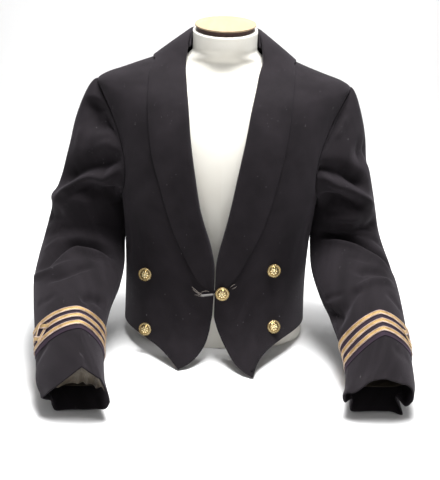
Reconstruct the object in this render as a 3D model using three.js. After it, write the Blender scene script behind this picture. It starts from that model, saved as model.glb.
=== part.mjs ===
// A waist-length mess dress jacket on a limbless dress form that stands on a table.
// Millimetres, +Z up, the wearer faces -Y and the wearer's left is +X.
// The origin is the middle of the form's flat underside.
//
// The jacket is cut as a tailor cuts it: two fronts, two side bodies, two backs, a shawl
// collar in two halves with its stand, and two-piece sleeves with braid, lining and a vent.
// Every cloth piece is a thin wall laid on one of two surfaces: torso(phi, z) or a sleeve.
import * as THREE from "three";

// ---------------------------------------------------------------- driving dimensions
const CLOTH = 2.2; // wall of the doubled wool cloth
const LINING = 1.0; // wall of the sleeve lining
const LINING_EASE = 2.0; // how far it lies inside the sleeve
const SEAM = 0.25; // gap left on each side of a seam
const LEFT_DROP = 4; // the wearer's left shoulder hangs this much lower
const HANG_SHIFT = -7; // the body hangs this far towards the wearer's right at the hem
const SHIFT_TOP = 400; // height above which it hangs straight
const HEM_TIP = 3; // height of the two front points
const BUTTON_LEVEL = 118; // height where the fronts meet
const SIDE_SEAM_BACK = 19; // how far behind the widest line the side seam starts at the hem
const ARMHOLE = { mid: 313.5, half: 88.5, front: 26, back: 24, scoop: 0.5, seam: 0.7 }; // mm, degrees
const SHOULDER_TOP = 450; // the panels end here, under the collar
const BUTTON = { radius: 10, dome: 3.2, rim: 1.6, relief: 0.7, petals: 8 };
const LINK = { radius: 1.7, from: -25, to: -9, z: 106.5, rise: 6 }; // the bar that holds the fronts together
const BRAID = { lace: 8, between: 7, fromCuff: 78, cloth: 0.6, thick: 0.9, under: 8, over: 3 };
// How far down the inner side of each sleeve the braid runs, and where above the cuff the rows tilt.
const TILT = { right: -10, left: 12, start: 190, over: 60, end: 20, fade: 48 };
const DIAMOND = { half: 16, width: 6, round: 25 }; // set over the middle lace, degrees round
const MOUTH = { lobe: 9, length: 50 }; // how far the cuff's corners reach out beyond its middle
const SEAMS = { hind: -45, fore: 165 }; // where the sleeve's two pieces meet, degrees

// Height z, half width, y of the widest line, depth to front and back, squareness n.
const TORSO = [
  { z: 0, half: 149, ridge: 0, front: 143, back: 100, n: 2.4 },
  { z: 60, half: 147, ridge: 0, front: 142, back: 97, n: 2.4 },
  { z: 120, half: 147, ridge: 0, front: 141, back: 95, n: 2.4 },
  { z: 180, half: 150, ridge: 0, front: 139, back: 99, n: 2.4 },
  { z: 240, half: 157, ridge: 0, front: 135, back: 106, n: 2.4 },
  { z: 300, half: 165, ridge: 2, front: 128, back: 110, n: 2.3 },
  { z: 350, half: 176, ridge: 4, front: 113, back: 106, n: 2.2 },
  { z: 385, half: 190, ridge: 6, front: 92, back: 92, n: 2.1 },
  { z: 402, half: 196, ridge: 8, front: 76, back: 80, n: 2 },
  { z: 412, half: 181, ridge: 9, front: 67, back: 72, n: 2 },
  { z: 420, half: 158, ridge: 10, front: 60, back: 66, n: 2 },
  { z: 430, half: 130, ridge: 11, front: 53, back: 60, n: 2 },
  { z: 438, half: 107, ridge: 12, front: 48, back: 55, n: 2 },
  { z: 446, half: 85, ridge: 12, front: 44, back: 50, n: 2 },
  { z: 453, half: 67, ridge: 12, front: 41, back: 46, n: 2 },
];
// The front's free edge: half the opening at each height, and how far the opening leans over
// to the wearer's right. It is cut away below the button to a point at the hem, and above the
// button it is the fold of the collar.
const FRONT_EDGE = [
  { z: 3, x: 55, lean: 0 },
  { z: 5, x: 49, lean: 0 },
  { z: 8, x: 40, lean: 0 },
  { z: 15, x: 27, lean: -1 },
  { z: 28, x: 15.5, lean: -2 },
  { z: 45, x: 7.4, lean: -0.6 },
  { z: 60, x: 3.2, lean: 0.9 },
  { z: 72, x: 0.9, lean: 1.5 },
  { z: 86, x: 0.5, lean: 1.2 },
  { z: 118, x: 0.5, lean: 0.6 },
  { z: 132, x: 0.6, lean: 0.7 },
  { z: 150, x: 1.2, lean: 1 },
  { z: 168, x: 4.2, lean: 1.6 },
  { z: 189, x: 9.6, lean: 2.4 },
  { z: 226, x: 20.2, lean: 4.9 },
  { z: 280, x: 30.5, lean: 5.8 },
  { z: 330, x: 39.5, lean: 5.6 },
  { z: 375, x: 46, lean: 4.4 },
  { z: 396, x: 50.2, lean: 3.4 },
  { z: 420, x: 54.5, lean: 2.4 },
  { z: 449, x: 63, lean: 0 },
];
// The outer edge of the shawl collar on the front, from the button up.
const SHAWL_EDGE = [
  { z: 106, x: 3, lean: 0 },
  { z: 114, x: 14.5, lean: 0 },
  { z: 127, x: 27, lean: 0 },
  { z: 141, x: 36, lean: 0 },
  { z: 157, x: 45, lean: 0 },
  { z: 210, x: 69, lean: 1 },
  { z: 249, x: 80, lean: 2.5 },
  { z: 297, x: 94, lean: 5 },
  { z: 322, x: 98.5, lean: 5.5 },
  { z: 353, x: 103, lean: 5.6 },
  { z: 390, x: 106.5, lean: 4.6 },
  { z: 424, x: 108.5, lean: 2.5 },
];
// The collar round the neck: its fold (x, y, z), and its outer edge on the torso
// (degrees round, height), from the collar bone to the middle of the back.
const COLLAR = [
  { x: 58.5, y: -38, z: 438, round: 60, edge: 433 },
  { x: 57, y: -20, z: 460, round: 72, edge: 435.5 },
  { x: 54.8, y: 0, z: 476, round: 92, edge: 438 },
  { x: 49.5, y: 25, z: 483, round: 115, edge: 440.5 },
  { x: 32, y: 51, z: 486, round: 143, edge: 443 },
  { x: 0, y: 63, z: 487, round: 180, edge: 446 },
];
// The stand inside the collar: how far it lies inside the fold, and the height of its seam.
const STAND = { inset: 3.2, below: 2, seam: 455, lean: 3, thick: 1.3 };
// Height of the hem, degrees round from the front, on the wearer's right and left.
const HEM = {
  right: [
    { phi: 17.6, z: 3 },
    { phi: 24, z: 14 },
    { phi: 31, z: 21 },
    { phi: 44, z: 25 },
    { phi: 68, z: 24 },
    { phi: 90, z: 18 },
    { phi: 140, z: 13 },
    { phi: 180, z: 7 },
  ],
  left: [
    { phi: 17.6, z: 3 },
    { phi: 20, z: 13 },
    { phi: 24, z: 21 },
    { phi: 31, z: 27 },
    { phi: 44, z: 30 },
    { phi: 68, z: 28 },
    { phi: 90, z: 22 },
    { phi: 140, z: 14 },
    { phi: 180, z: 7 },
  ],
};
// The front points bend forward where they meet the table.
const KICK = {
  right: { forward: 52, out: -5 },
  left: { forward: 74, out: 6 },
  below: 100,
  at: 55,
  width: 55,
};
// Where the curved back seams run, degrees round.
const BACK_SEAM = [
  { z: 0, phi: 146 },
  { z: 100, phi: 146 },
  { z: 200, phi: 132 },
  { z: 260, phi: 120 },
  { z: 290, phi: 113.5 },
];
// Sleeve sections from under the armhole to the cuff: the centre, how far the axis has turned
// from down to forward, and the reach outwards, inwards, upwards and downwards.
const SLEEVES = {
  right: [
    { x: 214, y: 4, z: 208, aim: 4, out: 56, in: 56, up: 60, down: 60 },
    { x: 217, y: 0, z: 172, aim: 16, out: 62, in: 62, up: 54, down: 56 },
    { x: 219, y: -18, z: 142, aim: 42, out: 66, in: 65, up: 46, down: 50 },
    { x: 219, y: -55, z: 124, aim: 66, out: 67, in: 69, up: 40, down: 44 },
    { x: 218, y: -105, z: 108, aim: 72, out: 65, in: 67, up: 38, down: 42 },
    { x: 215, y: -155, z: 92, aim: 72, out: 58, in: 56, up: 41, down: 40 },
    { x: 210, y: -205, z: 76, aim: 71, out: 51, in: 49, up: 44, down: 40 },
    { x: 203, y: -250, z: 61, aim: 71, out: 47, in: 46, up: 46, down: 39 },
    { x: 196, y: -292, z: 48, aim: 72, out: 45, in: 46, up: 44, down: 38 },
    { x: 190, y: -324, z: 39, aim: 73, out: 43, in: 46, up: 42, down: 38 },
  ],
  left: [
    { x: 201, y: 4, z: 208, aim: 4, out: 48, in: 50, up: 60, down: 60 },
    { x: 204, y: 0, z: 172, aim: 16, out: 52, in: 57, up: 54, down: 56 },
    { x: 207, y: -18, z: 144, aim: 42, out: 56, in: 61, up: 46, down: 50 },
    { x: 209, y: -55, z: 127, aim: 66, out: 59, in: 64, up: 40, down: 44 },
    { x: 213, y: -105, z: 111, aim: 70, out: 59, in: 63, up: 38, down: 42 },
    { x: 217, y: -155, z: 93, aim: 69, out: 55, in: 56, up: 41, down: 40 },
    { x: 220, y: -200, z: 75, aim: 67, out: 51, in: 48, up: 44, down: 40 },
    { x: 220, y: -240, z: 59, aim: 66, out: 50, in: 41, up: 43, down: 39 },
    { x: 218, y: -280, z: 45, aim: 67, out: 49, in: 44, up: 38, down: 37 },
    { x: 215, y: -308, z: 36, aim: 69, out: 45, in: 45, up: 32, down: 36 },
  ],
};
// The same sections: how square the top is outside and inside, and the bottom, how far the top
// crease leans and the bottom slips inwards, and how far the outer and inner sides hang down.
const SLEEVE_SHAPE = {
  right: [
    { qu: 2.1, qi: 2.1, qd: 2.2, lean: 0, slip: 0, skew: 0, dip: 0 },
    { qu: 2.1, qi: 2.1, qd: 2.2, lean: 0, slip: 0, skew: 0, dip: 0 },
    { qu: 2.1, qi: 2.1, qd: 2.2, lean: 0, slip: 0, skew: 0, dip: 0 },
    { qu: 2, qi: 2, qd: 2.2, lean: 0, slip: 0, skew: 0, dip: 0 },
    { qu: 1.9, qi: 1.8, qd: 2.2, lean: 4, slip: 0, skew: 0, dip: 0 },
    { qu: 1.85, qi: 1.6, qd: 2.2, lean: 8, slip: 2, skew: 1, dip: 2 },
    { qu: 1.85, qi: 1.4, qd: 2.2, lean: 13, slip: 4, skew: 4, dip: 5 },
    { qu: 1.85, qi: 1.3, qd: 2.2, lean: 17, slip: 6, skew: 8, dip: 8 },
    { qu: 1.7, qi: 1.35, qd: 2.2, lean: 21, slip: 8, skew: 12, dip: 6 },
    { qu: 1.55, qi: 1.55, qd: 2.3, lean: 24, slip: 9, skew: 14, dip: 0 },
  ],
  left: [
    { qu: 2.1, qi: 2.1, qd: 2.2, lean: 0, slip: 0, skew: 0, dip: 0 },
    { qu: 2.1, qi: 2.1, qd: 2.2, lean: 0, slip: 0, skew: 0, dip: 0 },
    { qu: 2.1, qi: 2.1, qd: 2.2, lean: 0, slip: 0, skew: 0, dip: 0 },
    { qu: 2, qi: 2, qd: 2.2, lean: 0, slip: 0, skew: 0, dip: 0 },
    { qu: 1.8, qi: 1.85, qd: 2.2, lean: -1, slip: 0, skew: 0, dip: 0 },
    { qu: 1.6, qi: 1.7, qd: 2.2, lean: -3, slip: 0, skew: 1, dip: 2 },
    { qu: 1.45, qi: 1.55, qd: 2.2, lean: -5, slip: 0, skew: 3, dip: 5 },
    { qu: 1.4, qi: 1.5, qd: 2.3, lean: -6, slip: 0, skew: 5, dip: 10 },
    { qu: 1.4, qi: 1.45, qd: 2.4, lean: -7, slip: 0, skew: 8, dip: 12 },
    { qu: 1.4, qi: 1.4, qd: 2.6, lean: -6, slip: -4, skew: 8, dip: 9 },
  ],
};
// How full the sleeve head stands out from the shoulder.
const HEAD = { right: 76, left: 54 };
// Folds worn into each sleeve, the largest: how wide and how high each is, a trough being
// negative, and its path, as degrees round and millimetres from the first section, which are
// negative up towards the shoulder.
const FOLDS = {
  right: [
    { wide: 21, high: -9, path: [[20, -50], [48, -50], [72, -60], [94, -66], [116, -84]] },
    {
      wide: 12, high: 6,
      path: [[28, -8], [56, -29], [71, -42], [86, -47], [101, -45], [107, -56], [106, -86]],
    },
    { wide: 14, high: -8, path: [[58, -24], [84, -34], [110, -24], [170, -14]] },
    { wide: 38, high: -7, path: [[-50, -56], [28, -54]] },
    { wide: 18, high: 3, path: [[-6, -10], [14, -10], [34, -6], [52, 6]] },
    { wide: 19, high: -10, path: [[42, 158], [64, 142], [84, 118], [98, 101], [116, 92], [156, 96]] },
    { wide: 12, high: 4, path: [[46, 176], [66, 160], [86, 136], [100, 116], [114, 107], [156, 110]] },
    { wide: 12, high: 3, path: [[4, 168], [28, 188], [54, 197], [72, 191], [90, 164]] },
    { wide: 21, high: -7, path: [[36, -156], [52, -128], [76, -104]] },
    { wide: 12, high: -4, path: [[100, 264], [128, 244], [160, 236]] },
    { wide: 16, high: -3, path: [[10, 30], [40, 26], [64, 14]] },
  ],
  left: [
    { wide: 18, high: -8, path: [[128, -94], [106, -70], [86, -62], [64, -52], [34, -40]] },
    {
      wide: 12, high: 6,
      path: [[122, -84], [112, -60], [102, -46], [86, -41], [66, -31], [46, -16], [36, 4]],
    },
    { wide: 14, high: -8, path: [[156, -14], [124, -20], [96, -24], [56, -10]] },
    { wide: 12, high: 4, path: [[140, 22], [116, 12], [88, 12], [64, 6]] },
    { wide: 28, high: -2, path: [[-40, -60], [25, -56]] },
    { wide: 16, high: -9, path: [[150, 40], [116, 58], [96, 80], [76, 108], [32, 118]] },
    { wide: 12, high: 4, path: [[146, 60], [114, 78], [94, 100], [74, 128], [32, 138]] },
    { wide: 15, high: -5, path: [[14, 30], [36, 26], [62, 36], [90, 32]] },
    { wide: 12, high: 3, path: [[122, 218], [84, 201], [56, 188], [30, 182]] },
    { wide: 12, high: -4, path: [[112, 182], [84, 174], [48, 166]] },
    { wide: 12, high: -3, path: [[152, 246], [128, 226], [104, 208]] },
    { wide: 19, high: -7, path: [[150, 262], [164, 240], [184, 226], [206, 230]] },
    { wide: 18, high: -5, path: [[-4, -90], [22, -84], [46, -84], [62, -90]] },
  ],
};
// Where each cuff's mouth is bent out of round: outwards, upwards and along the sleeve, in
// millimetres, at an angle round it.
const MOUTHS = {
  right: [
    { angle: -90, out: 0, rise: 0, far: 0 },
    { angle: -75, out: 2.5, rise: 0, far: 0 },
    { angle: -60, out: 5, rise: 0, far: 0 },
    { angle: -45, out: 0, rise: 5, far: -4 },
    { angle: -30, out: -7, rise: 10, far: -6 },
    { angle: -15, out: -7, rise: 8, far: -6 },
    { angle: 0, out: -6, rise: 3.5, far: -6 },
    { angle: 15, out: -5, rise: 0, far: -5 },
    { angle: 30, out: -3, rise: -1, far: -1 },
    { angle: 45, out: -1, rise: -4, far: 0 },
    { angle: 60, out: -1, rise: -3.5, far: 0 },
    { angle: 75, out: 1, rise: -2, far: 0 },
    { angle: 85, out: 2, rise: 0, far: 1 },
    { angle: 95, out: 1, rise: -4, far: 0 },
    { angle: 105, out: 0, rise: -7, far: 0 },
    { angle: 120, out: 0, rise: -7, far: 0 },
    { angle: 135, out: 1, rise: -2.5, far: 0 },
    { angle: 150, out: -1, rise: -4.5, far: 0 },
    { angle: 165, out: -4.5, rise: -6.5, far: 0 },
    { angle: 180, out: -7.5, rise: -7.5, far: 0 },
    { angle: 195, out: -4.5, rise: -5, far: 0 },
    { angle: 210, out: -3, rise: -4, far: 0 },
    { angle: 225, out: -2.5, rise: -2.5, far: 0 },
    { angle: 240, out: 0, rise: 0, far: 0 },
    { angle: 270, out: 0, rise: 0, far: 0 },
  ],
  left: [
    { angle: -90, out: 0, rise: 0, far: 0 },
    { angle: -75, out: 1, rise: 0, far: 0 },
    { angle: -60, out: 5.5, rise: -1, far: 2 },
    { angle: -45, out: -6, rise: 8, far: -7 },
    { angle: -30, out: -6, rise: 4, far: -6 },
    { angle: -15, out: -1, rise: 5, far: -7 },
    { angle: 0, out: 0.5, rise: 6, far: -8 },
    { angle: 15, out: -1.3, rise: 12, far: -7 },
    { angle: 30, out: -4, rise: 12, far: -5 },
    { angle: 45, out: -5, rise: 7, far: -2 },
    { angle: 60, out: -3, rise: 2, far: 0 },
    { angle: 75, out: -1.5, rise: -2, far: 0 },
    { angle: 90, out: -2, rise: -2, far: 0 },
    { angle: 105, out: -5.5, rise: -1, far: 0 },
    { angle: 120, out: -4.5, rise: 2, far: 0 },
    { angle: 135, out: -2, rise: 3, far: 0 },
    { angle: 150, out: -1, rise: 5, far: 0 },
    { angle: 165, out: -2.5, rise: 9, far: -4 },
    { angle: 180, out: -4, rise: 6, far: -5 },
    { angle: 195, out: -1.5, rise: 5, far: -6 },
    { angle: 210, out: 3, rise: 10, far: -9 },
    { angle: 225, out: -4, rise: 1, far: -2 },
    { angle: 240, out: -1.5, rise: 0, far: 0 },
    { angle: 270, out: 0, rise: 0, far: 0 },
  ],
};
// How far the lining hangs down inside each cuff, as a share of the cuff's height, and how
// deep its pleats are.
const SAG = {
  right: { share: 0.4, pleat: 2.2 },
  left: { share: 0.2, pleat: 2 },
};
// Sections of the dress form.
const FORM = [
  { z: 0, half: 138, ridge: -8, front: 98, back: 88, n: 2.7 },
  { z: 14, half: 138, ridge: -8, front: 98, back: 88, n: 2.7 },
  { z: 90, half: 131, ridge: -6, front: 100, back: 86, n: 2.4 },
  { z: 180, half: 136, ridge: -2, front: 112, back: 90, n: 2.3 },
  { z: 260, half: 147, ridge: 0, front: 118, back: 96, n: 2.3 },
  { z: 320, half: 156, ridge: 2, front: 110, back: 98, n: 2.2 },
  { z: 365, half: 166, ridge: 5, front: 92, back: 92, n: 2.1 },
  { z: 390, half: 168, ridge: 7, front: 74, back: 80, n: 2 },
  { z: 403, half: 154, ridge: 8, front: 64, back: 71, n: 2 },
  { z: 414, half: 128, ridge: 9, front: 55, back: 62, n: 2 },
  { z: 424, half: 98, ridge: 9, front: 49, back: 55, n: 2 },
  { z: 433, half: 74, ridge: 8, front: 46, back: 49, n: 2 },
  { z: 441, half: 60, ridge: 5, front: 47, back: 48, n: 2 },
  { z: 449, half: 50.5, ridge: 3, front: 48, back: 46.5, n: 2 },
  { z: 457, half: 49.2, ridge: 1, front: 49, back: 47, n: 2 },
  { z: 480, half: 49.3, ridge: 0, front: 50, back: 48, n: 2 },
];
const NECK = { tilt: 12, from: 425, top: 480, gap: 0.4, spacer: 44.5, low: 6, cap: 2, radius: 46.5 };
// Buttons: distance out from the middle line and height, and how far they stand off the cloth.
const BUTTONS = [
  { name: "button_upper_right", side: -1, x: 103, z: 124, off: 4.2 },
  { name: "button_lower_right", side: -1, x: 102, z: 38, off: 4.2 },
  { name: "button_upper_left", side: 1, x: 85, z: 139, off: 3.6 },
  { name: "button_lower_left", side: 1, x: 88, z: 52, off: 3.6 },
  { name: "button_link", side: 1, x: 11, z: 108, off: 7.2 },
];
const BUTTON_TIP = { towards: new THREE.Vector3(0, -1, 0.25), share: 0.62 }; // they tip on their shanks

// ---------------------------------------------------------------- materials
const material = (color, roughness, metalness = 0) =>
  new THREE.MeshStandardMaterial({ color, roughness, metalness });
const WOOL = material(0x1d1c20, 0.92);
const LINING_CLOTH = material(0x8f8266, 0.8);
const PURPLE = material(0x2a1530, 0.9);
const GOLD_LACE = material(0xc9a566, 0.5, 0.6);
const GILT = material(0xe0b040, 0.25, 1);
const JERSEY = material(0xf0ece2, 0.85);
const WOOD = material(0xe4b985, 0.5);
const DARK_WOOD = material(0x3a1c10, 0.6);
const CORD = material(0x55534f, 0.7);

// ---------------------------------------------------------------- small tools
const RAD = Math.PI / 180;
const mix = (a, b, t) => a + (b - a) * t;
const clamp = (v, lo, hi) => Math.min(Math.max(v, lo), hi);
const smooth = (t) => clamp(t, 0, 1) ** 2 * (3 - 2 * clamp(t, 0, 1));
const range = (n) => [...Array(n).keys()];
const spread = (from, to, n) => range(n + 1).map((i) => mix(from, to, i / n));
const signedPower = (v, p) => Math.sign(v) * Math.abs(v) ** p;

// A smooth curve through a table's rows: gives every other column at a value of the key.
function curve(rows, key) {
  const at = rows.map((row) => row[key]);
  const names = Object.keys(rows[0]).filter((name) => name !== key);
  const last = rows.length - 1;
  const slope = (name, i) => {
    const [a, b] = [Math.max(i - 1, 0), Math.min(i + 1, last)];
    return (rows[b][name] - rows[a][name]) / (at[b] - at[a]);
  };
  return (value) => {
    const v = clamp(value, at[0], at[last]);
    const k = clamp(at.findIndex((a) => a >= v) - 1, 0, last - 1);
    const span = at[k + 1] - at[k];
    const t = (v - at[k]) / span;
    const out = {};
    for (const name of names) {
      const [p, q] = [rows[k][name], rows[k + 1][name]];
      const [mp, mq] = [slope(name, k) * span, slope(name, k + 1) * span];
      const s = smooth(t);
      out[name] = mix(p, q, s) + (t ** 3 - 2 * t * t + t) * mp + (t ** 3 - t * t) * mq;
    }
    return out;
  };
}

// A point and outward normal on a surface given as a function of two numbers.
function facing(surface, u, v, du, dv) {
  const across = surface(u + du, v).sub(surface(u - du, v));
  const along = surface(u, v + dv).sub(surface(u, v - dv));
  return { p: surface(u, v), n: across.cross(along).normalize() };
}

const moved = ({ p, n }, distance) => p.clone().addScaledVector(n, distance);

// A closed mesh from two grids of points, the outer and inner face of a wall.
function wallGeometry(outer, inner, round = false) {
  const [rows, columns] = [outer.length, outer[0].length];
  const positions = [...outer.flat(), ...inner.flat()].flatMap((p) => [p.x, p.y, p.z]);
  const at = (layer, i, j) => layer * rows * columns + i * columns + (j % columns);
  const faces = [];
  const quad = (a, b, c, d) => faces.push(a, b, c, a, c, d);
  const wide = round ? columns : columns - 1;
  for (let i = 0; i < rows - 1; i++) {
    for (let j = 0; j < wide; j++) {
      const next = (j + 1) % columns;
      const rising = outer[i][j].distanceTo(outer[i + 1][next]);
      const falling = outer[i][next].distanceTo(outer[i + 1][j]);
      const turn = rising > falling ? 1 : 0;
      const corners = [[i, j], [i, j + 1], [i + 1, j + 1], [i + 1, j]];
      const around = range(4).map((k) => corners[(k + turn) % 4]);
      quad(...around.map(([a, b]) => at(0, a, b)));
      const [p, q, r, t] = around.map(([a, b]) => at(1, a, b));
      quad(p, t, r, q);
    }
  }
  for (let j = 0; j < wide; j++) {
    quad(at(0, 0, j + 1), at(0, 0, j), at(1, 0, j), at(1, 0, j + 1));
    quad(at(0, rows - 1, j), at(0, rows - 1, j + 1), at(1, rows - 1, j + 1), at(1, rows - 1, j));
  }
  if (!round) {
    for (let i = 0; i < rows - 1; i++) {
      quad(at(0, i, 0), at(0, i + 1, 0), at(1, i + 1, 0), at(1, i, 0));
      quad(at(0, i, wide), at(1, i, wide), at(1, i + 1, wide), at(0, i + 1, wide));
    }
  }
  return closed(positions, faces);
}

// Turns the faces outwards if the volume they enclose comes out negative.
function closed(positions, faces) {
  let volume = 0;
  const v = (i) => new THREE.Vector3().fromArray(positions, i * 3);
  for (let i = 0; i < faces.length; i += 3) {
    volume += v(faces[i]).dot(v(faces[i + 1]).cross(v(faces[i + 2])));
  }
  if (volume < 0) faces.reverse();
  const geometry = new THREE.BufferGeometry();
  geometry.setAttribute("position", new THREE.Float32BufferAttribute(positions, 3));
  geometry.setIndex(faces);
  geometry.computeVertexNormals();
  return geometry;
}

const part = new THREE.Group();
function add(name, geometry, look) {
  const mesh = new THREE.Mesh(geometry, look);
  mesh.name = name;
  part.add(mesh);
  return mesh;
}

// A cloth wall on a grid of { p, n }: its outer face is moved out by `lift`.
function cloth(name, look, grid, { lift = 0, thick = CLOTH, round = false } = {}) {
  const outer = grid.map((row) => row.map((spot) => moved(spot, lift)));
  const inner = grid.map((row) => row.map((spot) => moved(spot, lift - thick)));
  add(name, wallGeometry(outer, inner, round), look);
}

// ---------------------------------------------------------------- torso surface
const torsoAt = curve(TORSO, "z");
const shiftAt = (z) => HANG_SHIFT * (1 - smooth(z / SHIFT_TOP));
const nameOf = (side) => (side > 0 ? "left" : "right");

// One oval section: phi is 0 at the front, 90 at the wearer's left, -90 at the right.
function oval(section, phi) {
  const [c, s] = [Math.cos(phi), Math.sin(phi)];
  const depth = c > 0 ? section.front : section.back;
  return {
    x: section.half * signedPower(s, 2 / section.n),
    y: section.ridge - depth * signedPower(c, 2 / section.n),
  };
}

function torso(phi, z) {
  const at = oval(torsoAt(z), phi);
  const kick = KICK[nameOf(at.x)];
  const near = Math.exp(-(((Math.abs(at.x) - KICK.at) / KICK.width) ** 2));
  const bend = Math.cos(phi) > 0 ? Math.max(0, 1 - z / KICK.below) ** 2 * near : 0;
  const drop = LEFT_DROP * smooth((at.x - 60) / 80) * smooth((z - 300) / 110);
  const x = at.x + shiftAt(z) + Math.sign(at.x) * kick.out * bend;
  return new THREE.Vector3(x, at.y - kick.forward * bend, z - drop);
}
const onTorso = (side, phi, z) => facing(torso, side * phi, z, 0.01, 0.5);

// The angle on the torso of a point that far out from the middle line.
function angleOf(x, z) {
  const { half, n } = torsoAt(z);
  return Math.asin(clamp(x / half, 0, 1) ** (n / 2));
}
const edgeAt = curve(FRONT_EDGE, "z");
const shawlAt = curve(SHAWL_EDGE, "z");
const backSeamAt = curve(BACK_SEAM, "z");

// The angle of a table's edge on one side, as the middle line leans over.
function edgeAngle(rowsAt, side, z) {
  const { x, lean } = rowsAt(z);
  return angleOf(x - side * lean, z);
}

// How far round the armhole is cut: before the side line it is scooped out lower down.
function armholeReach(turn) {
  const scooped = ARMHOLE.front * (1 - ARMHOLE.scoop * Math.cos(turn));
  return RAD * (Math.sin(turn) > 0 ? scooped : ARMHOLE.back);
}

// The edge that a torso panel leaves round the armhole: its height and how far round it is
// from the side line, before it (way = 1) or behind it (way = -1), at an angle on the ring.
function armholeEdge(degrees, way) {
  const turn = degrees * RAD;
  const reach = (way > 0 ? armholeReach(turn) : ARMHOLE.back * RAD) + ARMHOLE.seam / 140;
  const z = ARMHOLE.mid + (ARMHOLE.half + ARMHOLE.seam) * Math.cos(turn);
  return [z, Math.PI / 2 - way * Math.max(reach * Math.abs(Math.sin(turn)), gapAt(z))];
}
const topRows = [411, 421, 432, SHOULDER_TOP];
const gapAt = (z) => SEAM / torsoAt(z).half;
const armLow = ARMHOLE.mid - ARMHOLE.half - ARMHOLE.seam;
const middleBack = (z) => Math.PI - angleOf(SEAM, z);

// The side seam is a straight line from the hem up to the armhole.
function sideSeamAt(z) {
  const { back, n } = torsoAt(z);
  const y = SIDE_SEAM_BACK * clamp(1 - z / armLow, 0, 1);
  return Math.PI / 2 + Math.asin((y / back) ** (n / 2));
}

// The columns of the two sleeve pieces, in degrees round the sleeve. The panels round the
// armhole have their corners at the same angles.
const TOP_COLUMNS = spread(SEAMS.hind, SEAMS.fore, 14);
const UNDER_COLUMNS = [SEAMS.fore, 182, 205, 230, 255, 285, 300, SEAMS.hind + 360];
const ROUND = [...TOP_COLUMNS, ...UNDER_COLUMNS.slice(1, -1)];

// ---------------------------------------------------------------- body pieces
// A front's columns: even ones up to the chest, then more of them towards the armhole.
const CHEST = 54 * RAD;
function frontRow(side, start, end, height) {
  const near = spread(start, Math.max(CHEST, start + 0.2), 5);
  const far = spread(near.at(-1), end, 3).slice(1);
  return [...near, ...far].map((phi, k) => onTorso(side, phi, height(phi, k)));
}

function front(side) {
  const hem = curve(HEM[nameOf(side)], "phi");
  const lower = [HEM_TIP, 5, 9, 18, 32, 52, 80, BUTTON_LEVEL].map((z) => {
    const rise = (z - HEM_TIP) / (BUTTON_LEVEL - HEM_TIP);
    const height = (phi, k) => mix(k ? hem(phi / RAD).z : HEM_TIP, BUTTON_LEVEL, rise);
    const end = sideSeamAt(mix(hem(98).z, BUTTON_LEVEL, rise)) - gapAt(z);
    return frontRow(side, edgeAngle(edgeAt, side, z), end, height);
  });
  const middle = [150, 188].map((z) => [z, sideSeamAt(z) - gapAt(z)]);
  const arm = [180, ...TOP_COLUMNS.filter((a) => a >= 0).reverse()].map((a) => armholeEdge(a, 1));
  const top = topRows.map((z) => [z, Math.PI / 2 - 0.5 / torsoAt(z).front]);
  const upper = [...middle, ...arm, ...top].map(([z, end]) =>
    frontRow(side, edgeAngle(edgeAt, side, z), end, () => z),
  );
  cloth(`front_${nameOf(side)}`, WOOL, [...lower, ...upper]);
}

// Behind the side seam the rows below the armhole follow the hem, then run level above it.
const BEHIND = UNDER_COLUMNS.filter((a) => a > 180);
const SEAM_JOIN = BEHIND.indexOf(255);
function lowRows(side, from, to, n, level = false) {
  const hem = curve(HEM[nameOf(side)], "phi");
  return [0, 0.3, 0.65, 1].map((t) => {
    const height = (phi) => mix(hem(phi / RAD).z, armLow, t);
    const nominal = mix(13, armLow, t);
    const [start, end] = [from(level ? nominal : height(98 * RAD)), to(nominal)];
    return spread(start, end, n).map((phi) => onTorso(side, phi, height(phi)));
  });
}
const backSeam = (z) => backSeamAt(z).phi * RAD;

// Beside the armhole the curved back seam keeps a little cloth in front of it.
const joinAt = (z, edge) => Math.max(backSeam(z), edge + 0.03);

function sideBody(side) {
  const below = lowRows(side, (z) => sideSeamAt(z) + gapAt(z), (z) => backSeam(z) - gapAt(z), 3);
  const above = BEHIND.slice(0, SEAM_JOIN + 1).map((a) => {
    const [z, start] = armholeEdge(a, -1);
    return spread(start, joinAt(z, start) - gapAt(z), 3).map((phi) => onTorso(side, phi, z));
  });
  cloth(`side_body_${nameOf(side)}`, WOOL, [...below, ...above]);
}

function back(side) {
  const below = lowRows(side, (z) => backSeam(z) + gapAt(z), middleBack, 5, true);
  const open = [...BEHIND, 330, 345, 360].map((a) => armholeEdge(a, -1));
  const edges = open.map(([z, edge], k) => [z, k > SEAM_JOIN ? edge : joinAt(z, edge) + gapAt(z)]);
  const top = topRows.map((z) => [z, Math.PI / 2 + 0.5 / torsoAt(z).back]);
  const above = [...edges, ...top].map(([z, start]) =>
    spread(start, middleBack(z), 5).map((phi) => onTorso(side, phi, z)),
  );
  cloth(`back_${nameOf(side)}`, WOOL, [...below, ...above]);
}

// ---------------------------------------------------------------- shawl collar
// It lies on the front, moved out from its surface, and rolls over at the front's free edge.
const SHAWL_LIFT = { edge: 3.3, fold: 6, neck: 3.3 };
const collarAt = curve(COLLAR, "round");
const collarRows = [60, 72, 88, 104, 120, 140, 160, 180].map((round) => ({ ...collarAt(round), round }));
const shawlRows = [107, 114, 122, 134, 150, 174, 204, 236, 268, 300, 332, 360, 384, 404, 420];
const shawlColumns = [0, 0.15, 0.38, 0.6, 0.8, 1];

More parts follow.
